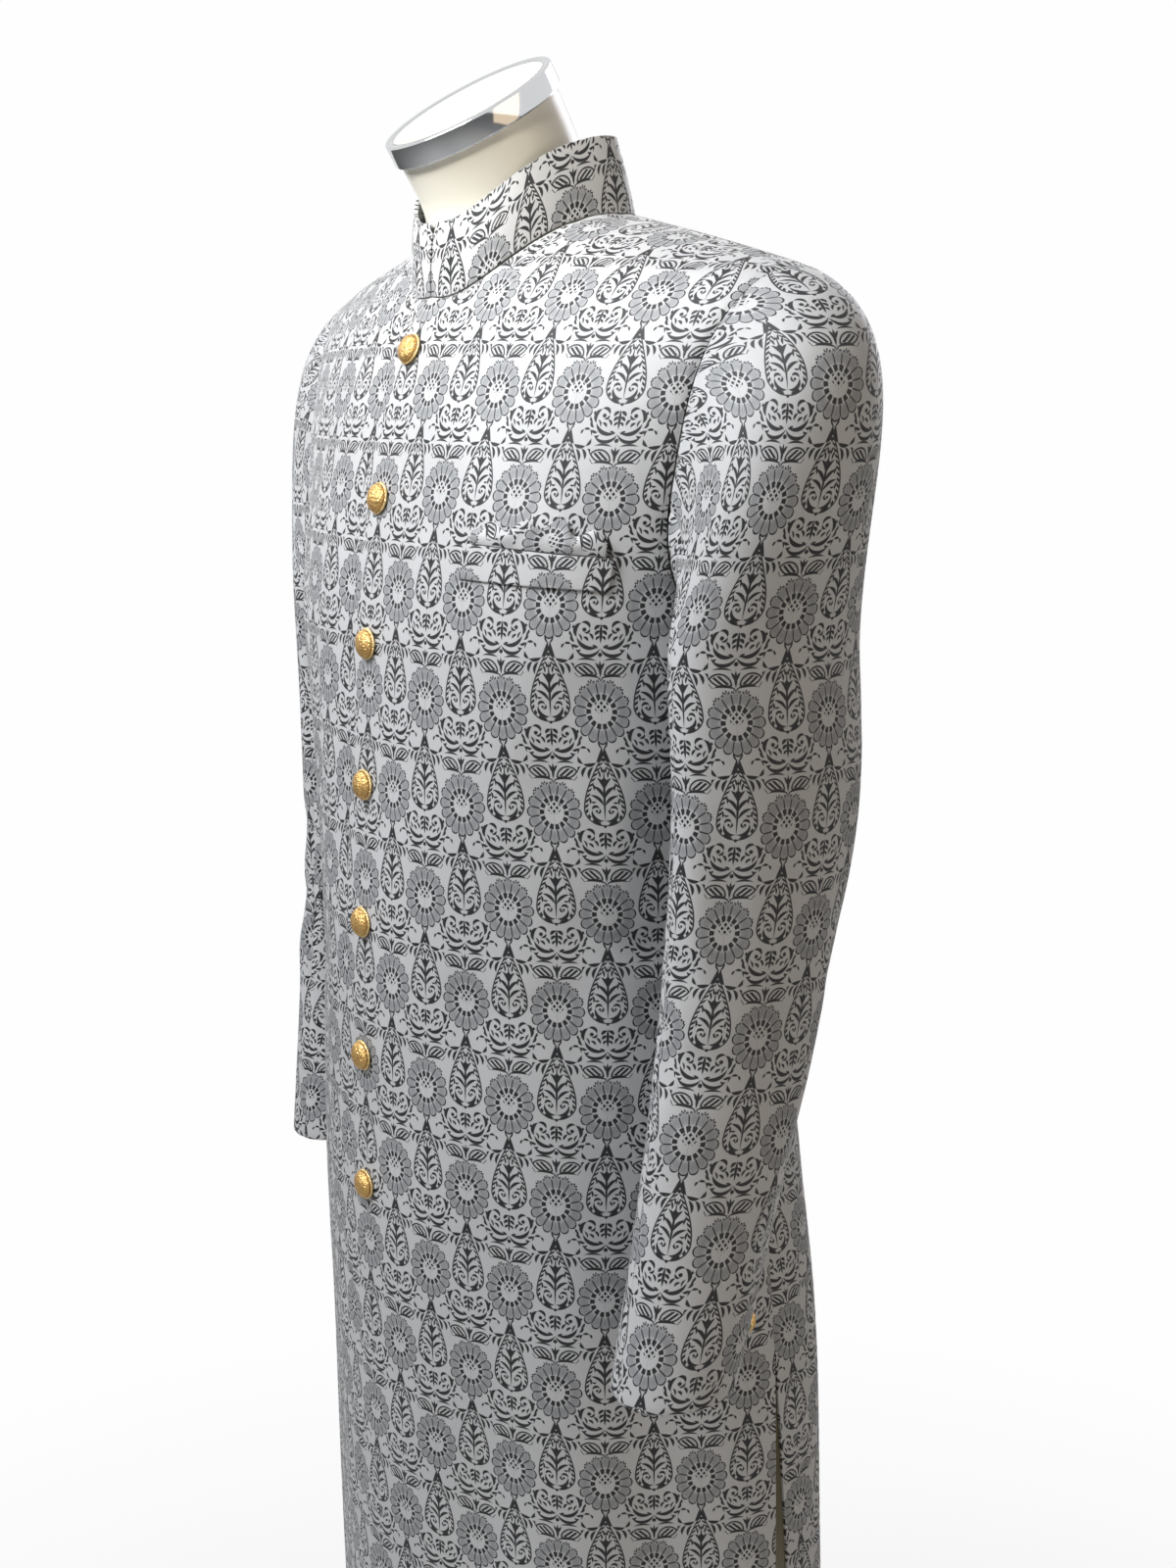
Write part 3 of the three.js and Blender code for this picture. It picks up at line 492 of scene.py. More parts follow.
def archPoint(rows, archWidth, dropped, face, turn, rise):  # over the chest and shoulders
    row = rowAt(rows, "z", coat["armpit"])
    climb, angle = np.radians(rise), np.radians(turn)
    width = row["halfWidth"] + (archWidth - row["halfWidth"]) * np.sin(climb) ** 1.5
    depth = coat["sideY"] - row["front"] if face < 0 else row["back"] - coat["sideY"]
    power = row["backPower"]
    if face < 0:
        power = row["frontPower"] + (row["backPower"] - row["frontPower"]) * np.sin(climb)
    x = width * np.sin(angle) ** (2 / power)
    middleY = coat["sideY"] + (coat["shoulderY"] - coat["sideY"]) * np.sin(climb)
    level = np.maximum(np.cos(climb), 0)
    flattened = coat["chestFlat"] * np.sin(2 * climb) * level ** 2
    reach = level - flattened if face < 0 else level ** coat["backPower"]
    y = middleY + face * depth * np.maximum(np.cos(angle), 0) ** (2 / power) * reach
    t = np.abs(x) / coat["tipX"]
    top = coat["shoulderTop"] + (coat["tipZ"] - coat["shoulderTop"]) * (0.85 * t + 0.15 * t * t) - dropped
    return stacked(x, y, coat["armpit"] + (top - coat["armpit"]) * np.sin(climb))


def armholeTurn(rise):
    return rowAt(armholeRows, "rise", rise)["turn"]


def centreRise(z):
    return math.degrees(math.asin((z - coat["armpit"]) / (coat["shoulderTop"] - coat["armpit"])))


neckShare = math.degrees(math.asin((coat["neckX"] / coat["archWidth"]) ** 1.1)) / float(armholeTurn(90))


def panelPlace(face, share, up):  # the turn, the rise above the armpit and the height below it
    start = centreRise(coat["frontNeck"] if face < 0 else coat["backNeck"])
    across = np.minimum(1, share / neckShare)
    rise = np.maximum(up - 1, 0) * (90 - (90 - start) * np.sqrt(np.maximum(0, 1 - across ** 2)))
    opening = (coat["slitFront"] if face < 0 else coat["slitBack"]) * np.maximum(0, 1 - up / slitUp)
    turn = np.where(up > 1, share * armholeTurn(rise), share * (90 - opening))
    return turn, rise, coat["hem"] + (coat["armpit"] - coat["hem"]) * np.minimum(up, 1)


def panelPoint(face, share, up):
    turn, rise, z = panelPlace(face, share, up)
    body = sectionPoint(rowAt(bodyRows, "z", z), face, turn, z)
    return np.where((up > 1)[..., None], archPoint(bodyRows, coat["archWidth"], 0, face, turn, rise), body)


def measured(points, axis):  # length along the grid from its first row or column
    steps = np.linalg.norm(np.diff(points, axis=axis), axis=-1)
    return np.concatenate([np.zeros_like(np.take(steps, [0], axis)), np.cumsum(steps, axis)], axis)


def between(table, a, b):  # a value between the cells of a table with one cell a degree
    i, j = np.clip(a.astype(int), 0, table.shape[0] - 2), np.clip(b.astype(int), 0, table.shape[1] - 2)
    s, t = a - i, b - j
    return (table[i, j] * (1 - s) * (1 - t) + table[i + 1, j] * s * (1 - t) + table[i, j + 1] * (1 - s) * t
            + table[i + 1, j + 1] * s * t)


def outwards(points, side):  # the outward direction at each point of a grid of rows going up
    normal = np.cross(np.gradient(points, axis=1), np.gradient(points, axis=0)) * side
    return normal / np.maximum(np.linalg.norm(normal, axis=-1, keepdims=True), 1e-9)


fold = dict(steps=24, fade=0.02, fadePower=0.6, even=0.85, ripple=0.15, beat=9)


def creased(u, v, creases):  # how far soft folds lift or sink the cloth at each point
    total = np.zeros_like(u)
    for path, width, depth, lean in creases:
        path = np.array(path, float)
        curve = rowAt(dict(t=np.arange(len(path), dtype=float), u=path[:, 0], v=path[:, 1]), "t",
                      np.linspace(0, len(path) - 1, fold["steps"] * (len(path) - 1) + 1))
        best, along, sideways = np.full_like(u, 1e12), np.zeros_like(u), np.zeros_like(u)
        du, dv = np.gradient(curve["u"]), np.gradient(curve["v"])
        for k in range(len(curve["u"])):
            gu, gv = u - curve["u"][k], v - curve["v"][k]
            far = gu * gu + gv * gv
            nearer = far < best
            best = np.where(nearer, far, best)
            along = np.where(nearer, k / (len(curve["u"]) - 1), along)
            across = (gu * dv[k] - gv * du[k]) / math.hypot(du[k], dv[k])
            sideways = np.where(nearer, across, sideways)
        spread = width * (1 + lean * np.tanh(sideways / width))
        strength = np.sin(np.pi * np.clip(along, fold["fade"], 1 - fold["fade"])) ** fold["fadePower"]
        strength = strength * (fold["even"] + fold["ripple"] * np.sin(along * fold["beat"] + width))
        total += depth * strength * np.exp(-best / spread ** 2)
    return total


seam = dict(depth=0.9, width=2.4)  # how the cloth dips where two pieces are sewn


def dip(distance):
    return -seam["depth"] * np.exp(-(distance / seam["width"]) ** 2)


def addCloth(name, points, uv, side, thickness=None, materials=None, roundStitch=0.7):
    # a sheet from its outer face: points and cloth coordinates in millimetres; the wall grows inwards
    rows, columns = points.shape[:2]
    mesh = bpy.data.meshes.new(name)
    j, i = np.meshgrid(np.arange(rows - 1), np.arange(columns - 1), indexing="ij")
    corner = (j * columns + i).ravel()
    quads = np.stack([corner, corner + 1, corner + columns + 1, corner + columns], axis=1)
    if side < 0:
        quads = quads[:, ::-1]
    mesh.from_pydata((points.reshape(-1, 3) * mm).tolist(), [], quads.tolist())
    layer = mesh.uv_layers.new(name="cloth")
    loops = np.empty(len(mesh.loops), np.int32)
    mesh.loops.foreach_get("vertex_index", loops)
    layer.data.foreach_set("uv", (uv.reshape(-1, 2) * mm)[loops].astype(np.float32).ravel())
    cloth = bpy.data.objects.new(name, mesh)
    bpy.context.scene.collection.objects.link(cloth)
    for material in materials or (brocadeSatin, liningSatin):
        mesh.materials.append(material)
    mesh.shade_smooth()
    wall = cloth.modifiers.new("wall", "SOLIDIFY")
    wall.thickness = (thickness or coat["wall"]) * mm
    wall.offset = -1
    wall.material_offset = len(mesh.materials) - 1
    edge = cloth.modifiers.new("turned edge", "BEVEL")
    edge.width = roundStitch * mm
    edge.segments = 2
    edge.limit_method = "ANGLE"
    edge.angle_limit = math.radians(55)
    bpy.context.view_layer.objects.active = cloth
    for modifier in ("wall", "turned edge"):
        bpy.ops.object.modifier_apply(modifier=modifier)
    upwards, across = points[1:, :-1] - points[:-1, :-1], points[:-1, 1:] - points[:-1, :-1]
    area = np.linalg.norm(np.cross(upwards, across), axis=-1).sum() / 1e6
    print(f"{name}: {len(cloth.data.polygons)} faces, about {measured(points, 1)[:, -1].max():.0f} by "
          f"{measured(points, 0)[-1].max():.0f}, area {area:.3f}")
    return cloth


def lastly(cloth, node):
    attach(cloth, "root")
    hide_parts(node)


# ---- fronts and back
panel = dict(step=4.6, columns=58, chestRows=60, chestLong=255.0, halfWide=300.0, finest=0.008, probe=0.02)
edgeSteps = np.array([0, 0.9, 2.0, 3.4, 5.4, 8.4])  # finer steps beside a seam
# a fold is its path over the cloth (out from the middle, up from the floor), its width, height and lean
frontCreases = [
    ([(196, 1262), (150, 1300), (112, 1352)], 15, -2.3, 0.3),
    ([(176, 1228), (148, 1176), (136, 1100)], 20, -3.2, 0.2),
    ([(206, 1210), (186, 1130), (178, 1040), (186, 950)], 18, 2.9, -0.2),
    ([(120, 1120), (96, 1050), (90, 960)], 26, -2, 0.3),
    ([(158, 1010), (150, 880), (156, 700), (150, 480)], 34, 4.9, 0.2),
    ([(214, 900), (208, 760), (216, 600), (212, 410)], 26, -4.6, -0.3),
    ([(96, 820), (88, 640), (94, 430)], 36, -3.8, 0.2),
    ([(60, 1030), (110, 1018), (160, 1034)], 12, -1.4, 0.4),
    ([(150, 1075), (190, 1062), (226, 1070)], 9, -1.7, 0.4),
    ([(84, 1395), (110, 1340), (120, 1290)], 18, -1.7, 0.2),
]
backCreases = [
    ([(0, 1300), (4, 1180), (-3, 1040), (2, 880)], 24, -3.1, 0.2),
    ([(150, 1290), (122, 1200), (116, 1090)], 20, -3.9, 0.3),
    ([(190, 1215), (160, 1120), (150, 1010)], 16, -3.4, -0.3),
    ([(30, 1060), (90, 1040), (160, 1052)], 11, -2.5, 0.4),
    ([(40, 1000), (96, 1012), (150, 996)], 13, 2.2, 0.2),
    ([(70, 980), (64, 800), (74, 600), (66, 420)], 32, 5.9, 0.2),
    ([(140, 960), (146, 760), (138, 560), (146, 410)], 30, -5.3, -0.2),
    ([(196, 900), (200, 700), (196, 420)], 24, 4.5, 0.2),
    ([(0, 840), (6, 640), (-4, 420)], 34, -4.8, 0.2),
    ([(60, 1400), (84, 1350), (96, 1290)], 18, -2, 0.3),
]


unlike = dict(along=-0.97, shift=3, lower=9, wider=1.08, flatter=0.86, leaning=-1)
mirrored = dict(along=-1, leaning=-1)


def varied(creases, along=1, shift=0, lower=0, wider=1, flatter=1, leaning=1):
    # the same folds on the wearer's other side, mirrored or not quite alike
    return [([(a * along + shift, b - lower) for a, b in path], width * wider, depth * flatter, lean * leaning)
            for path, width, depth, lean in creases]


degreesOver = np.arange(91.0)
archTables = {}
for face in (-1, 1):
    turns, rises = np.meshgrid(degreesOver, degreesOver, indexing="ij")
    arch = archPoint(bodyRows, coat["archWidth"], 0, face, turns, rises)
    archTables[face] = measured(arch, 0), measured(arch, 1)


def upSteps():
    skirt = np.linspace(0, 1, round((coat["armpit"] - coat["hem"]) / panel["step"]) + 1)
    skirt[np.argmin(np.abs(skirt - slitUp))] = slitUp
    chest = 1 + np.linspace(0, 1, panel["chestRows"] + 1)[1:]
    fine = 2 - edgeSteps[::-1] / panel["chestLong"]
    chest = np.concatenate([chest[chest < fine[0] - panel["finest"]], fine])
    return np.concatenate([skirt, chest])


def half(face, lapX):
    # the left half of a face, from lapX past the middle: points, cloth coordinates and places in the panel
    ups = upSteps()
    shares = np.linspace(0, 1, panel["columns"])
    fine = 1 - edgeSteps[::-1] / panel["halfWide"]
    shares = np.concatenate([shares[shares < fine[0] - panel["finest"]], fine])
    closest = np.argmin(np.abs(shares - neckShare))
    shares[closest] = neckShare
    up = ups[:, None] * np.ones((1, len(shares)))
    share = np.ones((len(ups), 1)) * shares[None, :]
    points = panelPoint(face, share, up)
    turn, rise, z = panelPlace(face, share, up)
    u = np.where(up > 1, between(archTables[face][0], turn, rise), measured(points, 1))
    v = np.where(up > 1, coat["armpit"] + between(archTables[face][1], turn, rise), z)
    if lapX:
        probe = panelPoint(face, np.full((len(ups), 1), panel["probe"]), ups[:, None])[..., 0]
        lapShare = np.abs(np.array(lapX))[None, :] * panel["probe"] / probe
        over = panelPoint(face, lapShare, ups[:, None] * np.ones_like(lapShare))
        over[..., 0] *= -1
        points = np.concatenate([over, points], axis=1)
        u = np.concatenate([np.ones((len(ups), 1)) * np.array(lapX)[None, :], u], axis=1)
        v = np.concatenate([v[:, :1] * np.ones_like(lapShare), v], axis=1)
        share = np.concatenate([-lapShare, share], axis=1)
        up = ups[:, None] * np.ones_like(share)
    return points, u, v, share, up


# how far from a seam or the lap the folds are full, and how the cloth wanders between them
held = dict(side=22, top=26, lap=26, lapOver=34, far=1e3)
wander = dict(high=0.7, u=47, v=131, phase=1.3, crossU=211, crossV=83, fadeFrom=1150, fadeOver=200, start=0.6)


def shaped(face, grid, creases, lapSafe):
    points, u, v, _, up = grid
    normal = outwards(points, -face)
    toSide = np.where(up >= slitUp, measured(points[:, ::-1], 1)[:, ::-1], held["far"])  # and to the armhole
    toTop = measured(points[::-1], 0)[::-1]  # to the shoulder and collar seams
    free = ease(toSide / held["side"]) * ease(toTop / held["top"])
    if lapSafe:
        free = free * ease((u - held["lap"]) / held["lapOver"])
    drift = wander["high"] * np.sin(u / wander["u"] + v / wander["v"] + wander["phase"])
    drift = drift * np.sin(v / wander["crossV"] - u / wander["crossU"])
    drift = drift * ease((wander["fadeFrom"] - v) / wander["fadeOver"] + wander["start"])
    lift = (creased(u, v, creases) + drift) * free + dip(toSide) + dip(toTop)
    return points + normal * lift[..., None], normal


lapColumns = [-22, -20.6, -18.4, -15, -10, -5]
leftGrid = half(-1, lapColumns)
frontPoints, frontNormal = shaped(-1, leftGrid, frontCreases, True)
rightPoints, _ = shaped(-1, leftGrid, varied(varied(frontCreases, **unlike), **mirrored), True)
below = (coat["wall"] + coat["layerGap"]) * ease(1 - (rightPoints[..., 0] - coat["lap"]) / coat["lapFade"])
rightPoints = rightPoints - frontNormal * below[..., None]
rightPoints[..., 0] *= -1


def clothCoordinates(u, v, start=(0, 0)):
    return np.stack([u + start[0], v + start[1]], axis=-1)


clothStart = dict(front=(-2, -37), back=(0, 0), sleeve=(14, 28), collar=(0, 0))
_, u, v, _, _ = leftGrid
frontLeft = addCloth("front_left_cloth", frontPoints, clothCoordinates(u, v, clothStart["front"]), 1)
frontRight = addCloth("front_right_cloth", rightPoints, clothCoordinates(-u, v, clothStart["front"]), -1)

backMeets = 120  # over this width the two sides of the back agree
backGrid = half(1, [])
backLeft, _ = shaped(1, backGrid, backCreases, False)
backRight, _ = shaped(1, backGrid, varied(varied(backCreases, **unlike), **mirrored), False)
blend = ease(np.abs(backGrid[1]) / backMeets + 0.5)[..., None]
backLeft, backRight = backLeft * blend + backRight * (1 - blend), backRight * blend + backLeft * (1 - blend)
backRight[..., 0] *= -1
backPoints = np.concatenate([backRight[:, :0:-1], backLeft], axis=1)
backU = np.concatenate([-backGrid[1][:, :0:-1], backGrid[1]], axis=1)
backV = np.concatenate([backGrid[2][:, :0:-1], backGrid[2]], axis=1)
back = addCloth("back_cloth", backPoints, clothCoordinates(backU, backV, clothStart["back"]), -1)

# the lining that hangs inside the back skirt and shows where the slits stand open
lining = dict(wall=1.0, up=18, above=56, rounding=0.3)
inside = backPoints - outwards(backPoints, -1) * (coat["wall"] + coat["layerGap"])
backZ = backGrid[2][:, 0]
chosen = (backZ >= coat["hem"] + lining["up"] - 1) & (backZ <= coat["slitTop"] + lining["above"])
liningPoints, liningU, liningV = (grid[chosen][:, 1:-1] for grid in (inside, backU, backV))
backLining = addCloth("lining_back_skirt_cloth", liningPoints, clothCoordinates(liningU, liningV), -1,
                      lining["wall"], (liningSatin,), lining["rounding"])
print("fronts, back and lining cut")

# ---- sleeves
sleeveRows = tableOf("x y yRight z across deep tip",
                     (214, -9, -6, 1222, 33, 62, 0), (215, -8, -5, 1140, 32, 62, 3),
                     (215, -23, -13, 1040, 31, 55, 6), (218, -50, -30, 935, 32, 45, 6),
                     (222, -81, -48, 830, 34, 36, -4))
sleeve = dict(frontSeam=-118, backSeam=78, fullness=310, least=0.17, fall=0.28, gather=3, clear=4, step=4.4,
              headRows=34, headLong=190, finest=0.01, bendFrom=6 / 7, columns=97, seamClear=10,
              mmPerDegree=0.95, fineTurn=1.05)
# how far from a seam the folds are full, how the cloth wanders, and how much quieter it is beside the coat
arm = dict(head=26, seam=14, seamLeast=0.25, drift=0.6, driftTurn=31, driftUp=61, innerLeast=0.35,
           innerFade=1.6)
sleeveCreases = {  # degrees round the sleeve (0 outside, 90 behind) and height
    1: [([(52, 1390), (62, 1330), (70, 1270), (74, 1205)], 11, -4.9, 0.2),
        ([(70, 1400), (88, 1340), (96, 1270)], 14, 3.8, 0.1),
        ([(64, 1180), (72, 1090), (70, 1000), (66, 900)], 16, -4.6, 0.3),
        ([(30, 1150), (46, 1080), (60, 1030)], 14, -2.3, 0.4),
        ([(-60, 1190), (-44, 1120), (-38, 1050)], 15, -2.6, 0.2),
        ([(-98, 1100), (-70, 1066), (-44, 1050)], 10, -3.2, 0.4),
        ([(-104, 1050), (-76, 1022), (-46, 1012)], 11, -3.5, 0.4),
        ([(-100, 1000), (-70, 980), (-36, 978)], 12, 2.6, 0.2),
        ([(44, 1010), (20, 960), (8, 900), (10, 850)], 16, 2.6, 0.2),
        ([(96, 1120), (120, 1060), (140, 1020)], 12, -3.5, 0.3)],
}
sleeveCreases[-1] = varied(sleeveCreases[1], along=0.95, shift=4, lower=12, wider=1.1, flatter=0.85)


def bodyX(y, z):
    row = rowAt(bodyRows, "z", np.minimum(z, coat["armpit"]))
    ahead = y < coat["sideY"]
    depth = np.where(ahead, coat["sideY"] - row["front"], row["back"] - coat["sideY"])
    power = np.where(ahead, row["frontPower"], row["backPower"])
    inward = np.minimum(1, np.abs(y - coat["sideY"]) / depth) ** power
    return row["halfWidth"] * np.maximum(0, 1 - inward) ** (1 / power)


def sleevePoint(row, side, angle):
    a = row["across"] * np.cos(np.radians(angle))
    b = row["deep"] * np.sin(np.radians(angle))
    y = (row["y"] if side > 0 else row["yRight"]) + b * np.cos(np.radians(row["tip"]))
    z = row["z"] - b * np.sin(np.radians(row["tip"]))
    return stacked(np.maximum(row["x"] + a, bodyX(y, z) + sleeve["clear"]), y, z)


def armholeEdge(steps):  # up the front and down the back, with the degrees round the sleeve
    ups = 1 + np.linspace(0, 1, steps + 1)
    lines = {face: panelPoint(face, np.ones_like(ups), ups) for face in (-1, 1)}
    for face, line in lines.items():
        line[0] = sectionPoint(rowAt(bodyRows, "z", coat["armpit"]), face, 90, coat["armpit"])
    front, behind = lines[-1], lines[1]
    whole = np.concatenate([front, behind[-2::-1]])
    lengths = np.concatenate([[0], np.cumsum(np.linalg.norm(np.diff(whole, axis=0), axis=-1))])
    tip, end = lengths[steps], lengths[-1]
    return whole, np.where(lengths <= tip, -180 + 180 * lengths / tip, 180 * (lengths - tip) / (end - tip))


_, coarseAngles = armholeEdge(8)
frontSeam = float(coarseAngles[coarseAngles >= sleeve["frontSeam"]][0])
backSeam = float(coarseAngles[coarseAngles >= sleeve["backSeam"]][0])
print("sleeve seams at", round(frontSeam, 1), round(backSeam, 1))
edge, edgeAngles = armholeEdge(160)
fineTurns = edgeSteps[1:] * sleeve["fineTurn"]
angles = [a for a in np.linspace(-180, 180, sleeve["columns"])
          if min(abs(a - frontSeam), abs(a - backSeam)) > sleeve["seamClear"] + 1e-6]
for at in (frontSeam, backSeam):
    angles += [at, *(at + fineTurns), *(at - fineTurns)]
angles = np.array(sorted(angles))
armholeAt = np.stack([np.interp(angles, edgeAngles, edge[:, k]) for k in range(3)], axis=-1)


def sleeveGrid(side):
    cuff, top = sleeveRows["z"][-1], sleeveRows["z"][0]
    arm = [sleevePoint(rowAt(sleeveRows, "z", z), side, angles)
           for z in np.linspace(cuff, top, round((top - cuff) / sleeve["step"]) + 1)]
    coarse = rowAt(sleeveRows, "z", cuff + (top - cuff) * sleeve["bendFrom"])
    under, end = sleevePoint(coarse, side, angles), arm[-1]
    outer = (1 + np.cos(np.radians(angles))) / 2
    outward = sleeve["fullness"] * (sleeve["least"] + (1 - sleeve["least"]) * outer ** sleeve["gather"])
    arriving = end - under
    arriving *= (np.linalg.norm(end - armholeAt, axis=-1) / np.linalg.norm(arriving, axis=-1))[:, None]
    leaving = stacked(-outward, 0, outward * sleeve["fall"])
    lastSteps = 1 - edgeSteps[::-1] / sleeve["headLong"]
    ts = np.linspace(0, 1, sleeve["headRows"])[1:]
    ts = np.concatenate([ts[ts < lastSteps[0] - sleeve["finest"]], lastSteps])
    head = [smooth(end, armholeAt, arriving, leaving, t) for t in ts]
    return np.array(arm + head), len(arm)


def makeSleeve(side, name):
    points, armRows = sleeveGrid(side)
    normal = outwards(points, 1)
    normal[:, 0] = normal[:, -1] = (normal[:, 0] + normal[:, -1]) / 2
    normal /= np.linalg.norm(normal, axis=-1, keepdims=True)
    lengthUp = measured(points, 0)
    mean = lengthUp[:armRows].mean(axis=1, keepdims=True)
    onHead = mean[-1] + lengthUp[armRows:] - lengthUp[armRows - 1]
    v = np.concatenate([mean * np.ones((1, len(angles))), onHead])
    around = measured(points, 1)
    zero, front, behind = (np.argmin(np.abs(angles - at)) for at in (0, frontSeam, backSeam))
    u = around - around[:, zero:zero + 1]
    toSeam = np.minimum(*(np.abs(around - around[:, at][:, None]) for at in (front, behind)))
    toHead = lengthUp[-1] - lengthUp
    outer = (1 + np.cos(np.radians(angles)))[None, :] / 2
    a = angles[None, :] * np.ones((len(points), 1))
    lift = creased(a * sleeve["mmPerDegree"], points[..., 2], sleeveCreases[side])
    lift = lift + arm["drift"] * np.sin(a / arm["driftTurn"] + points[..., 2] / arm["driftUp"])
    lift = lift * ease(toHead / arm["head"])
    lift = lift * (arm["seamLeast"] + (1 - arm["seamLeast"]) * ease(toSeam / arm["seam"]))
    lift = lift * (arm["innerLeast"] + (1 - arm["innerLeast"]) * ease(outer * arm["innerFade"]))
    points = points + normal * (lift + dip(toSeam) + dip(toHead))[..., None]
    points[..., 0] *= side
    uv = clothCoordinates(u * side, v, clothStart["sleeve"])
    upper = addCloth(f"sleeve_{name}_top_cloth", points[:, front:behind + 1], uv[:, front:behind + 1], side)
    whole = around[:, -1:]
    lower = np.concatenate([points[:, behind:], points[:, 1:front + 1]], axis=1)
    beyond = clothCoordinates((u[:, 1:front + 1] + whole) * side, v[:, 1:front + 1], clothStart["sleeve"])
    lowerUv = np.concatenate([uv[:, behind:], beyond], axis=1)
    under = addCloth(f"sleeve_{name}_under_cloth", lower, lowerUv, side)
    return upper, under


leftSleeve = makeSleeve(1, "left")
rightSleeve = makeSleeve(-1, "right")
print("sleeves set")

# ---- collar
collarSize = dict(height=42, wall=2.2, lean=3, forward=12, corner=7, gap=1.2, middleY=-20, lift=0.3, count=60,
                  backOver=60)
stitches = dict(deep=0.35, wide=0.8, rows=(36, 4))


def makeCollar():
    size = collarSize
    shares = neckShare * np.sin(np.linspace(0, math.pi / 2, size["count"]))
    top = np.full(size["count"], 2.0)
    front, behind = panelPoint(-1, shares, top), panelPoint(1, shares, top)[::-1]
    left = np.concatenate([front[1:], behind[1:]])
    left = left[~((left[:, 1] < size["middleY"]) & (left[:, 0] < size["corner"]))]
    first = front[0].copy()
    first[0] = size["gap"] / 2
    ends = [first + np.array((t * size["corner"], 0, 0))
            for t in (0, 0.02, 0.06, 0.13, 0.22, 0.34, 0.5, 0.7, 0.9)]
    for end in ends:  # the ends follow the neckline's height
        end[1:] = [np.interp(end[0], front[:, 0], front[:, c]) for c in (1, 2)]
    left = np.concatenate([np.array(ends), left])
    base = np.concatenate([left, left[-2::-1] * (-1, 1, 1)])
    fromEnd = np.minimum(1, (np.abs(base[:, 0]) - size["gap"] / 2) / size["corner"])
    fromEnd = np.where(base[:, 1] < size["middleY"], fromEnd, 1)
    rounded = size["corner"] * (1 - np.sqrt(np.maximum(0, 1 - (1 - fromEnd) ** 2)))
    backness = ease((base[:, 1] - size["middleY"]) / size["backOver"])
    rows = []
    for t in np.concatenate([[0, 0.03, 0.07], np.linspace(0.12, 0.9, 12), [0.95, 0.98, 1.0]]):
        inward = np.stack([-base[:, 0], size["middleY"] - base[:, 1]], axis=-1)
        inward *= (size["lean"] * t * t / np.linalg.norm(inward, axis=-1))[:, None]
        height = (size["height"] - rounded) * t + size["lift"]
        rows.append(base + stacked(inward[:, 0], inward[:, 1] - size["forward"] * backness * t, height))
    grid = np.array(rows)
    around = measured(grid, 1)
    v = measured(grid, 0)
    stitch = -sum(stitches["deep"] * np.exp(-((v - row) / stitches["wide"]) ** 2) for row in stitches["rows"])
    grid = grid + outwards(grid, 1) * stitch[..., None]
    uv = clothCoordinates(around[:1] - around[:1, -1:] / 2 + 0 * v, v, clothStart["collar"])
    return addCloth("collar_cloth", grid, uv, 1, size["wall"], (brocadeSatin,))


collar = makeCollar()

# ---- breast pocket
pocket = dict(turnFrom=20.5, turnTo=54, riseTop=14.8, riseBottom=10, wall=1.1, off=0.5, rounding=0.4,
              stitchDeep=0.35, stitchBelow=3.2, stitchWide=0.7)
peaks = [8, 15, 11, 19, 14, 22, 12, 17, 9]
# the square's folds: fine and broad waves that grow towards the peaks, and a belly between
hankie = dict(turn=64, shift=(11, 7), narrower=2, up=0.3, off=0.4, wall=0.8, rounding=0.3, width=92,
              fine=1.2, fineBeat=26, fineLean=2.2, broad=1.1, broadBeat=11, broadLean=-3, belly=4.8,
              least=-0.6)


def chestPatch(name, turn, rise, out, uv, thickness, materials, rounding):
    base = archPoint(bodyRows, coat["archWidth"], 0, -1, turn, rise)
    points = base + outwards(base, 1) * out[..., None]
    return addCloth(name, points, uv, 1, thickness, materials, rounding)


across, over = np.meshgrid(np.linspace(0, 1, 56), np.linspace(0, 1, 14))
turn = pocket["turnFrom"] + (pocket["turnTo"] - pocket["turnFrom"]) * across
rise = pocket["riseBottom"] + (pocket["riseTop"] - pocket["riseBottom"]) * over
weltU, weltV = between(archTables[-1][0], turn, rise), coat["armpit"] + between(archTables[-1][1], turn, rise)
fromStitch = (weltV - weltV.max() + pocket["stitchBelow"]) / pocket["stitchWide"]
topStitch = -pocket["stitchDeep"] * np.exp(-fromStitch ** 2)
welt = chestPatch("pocket_welt_cloth", turn, rise, pocket["off"] + pocket["wall"] + topStitch,
                  clothCoordinates(weltU, weltV, clothStart["front"]), pocket["wall"], (brocadeSatin,),
                  pocket["rounding"])

squareSatin = brocade("silk brocade turned", hankie["turn"], hankie["shift"])
across, over = np.meshgrid(np.linspace(0, 1, 110), np.linspace(0, 1, 22))
peakTable = dict(t=np.linspace(0, 1, len(peaks)), height=np.array(peaks, float))
peakAt = rowAt(peakTable, "t", across)["height"]
turn = pocket["turnFrom"] + hankie["narrower"]
turn = turn + (pocket["turnTo"] - pocket["turnFrom"] - 2 * hankie["narrower"]) * across
degreesPerMm = math.degrees(1 / (coat["shoulderTop"] - coat["armpit"]))
rise = pocket["riseTop"] + degreesPerMm * (hankie["up"] + peakAt * over)
folds = hankie["fine"] * np.sin(across * hankie["fineBeat"] + over * hankie["fineLean"]) * over
folds = folds + hankie["broad"] * np.sin(across * hankie["broadBeat"] + over * hankie["broadLean"]) * over
folds = np.maximum(folds + hankie["belly"] * over * (1 - over), hankie["least"] * over)
square = chestPatch("pocket_square_cloth", turn, rise, pocket["off"] + pocket["wall"] + hankie["off"] + folds,
                    clothCoordinates(across * hankie["width"], over * peakAt), hankie["wall"], (squareSatin,),
                    hankie["rounding"])
print("collar and pocket set")

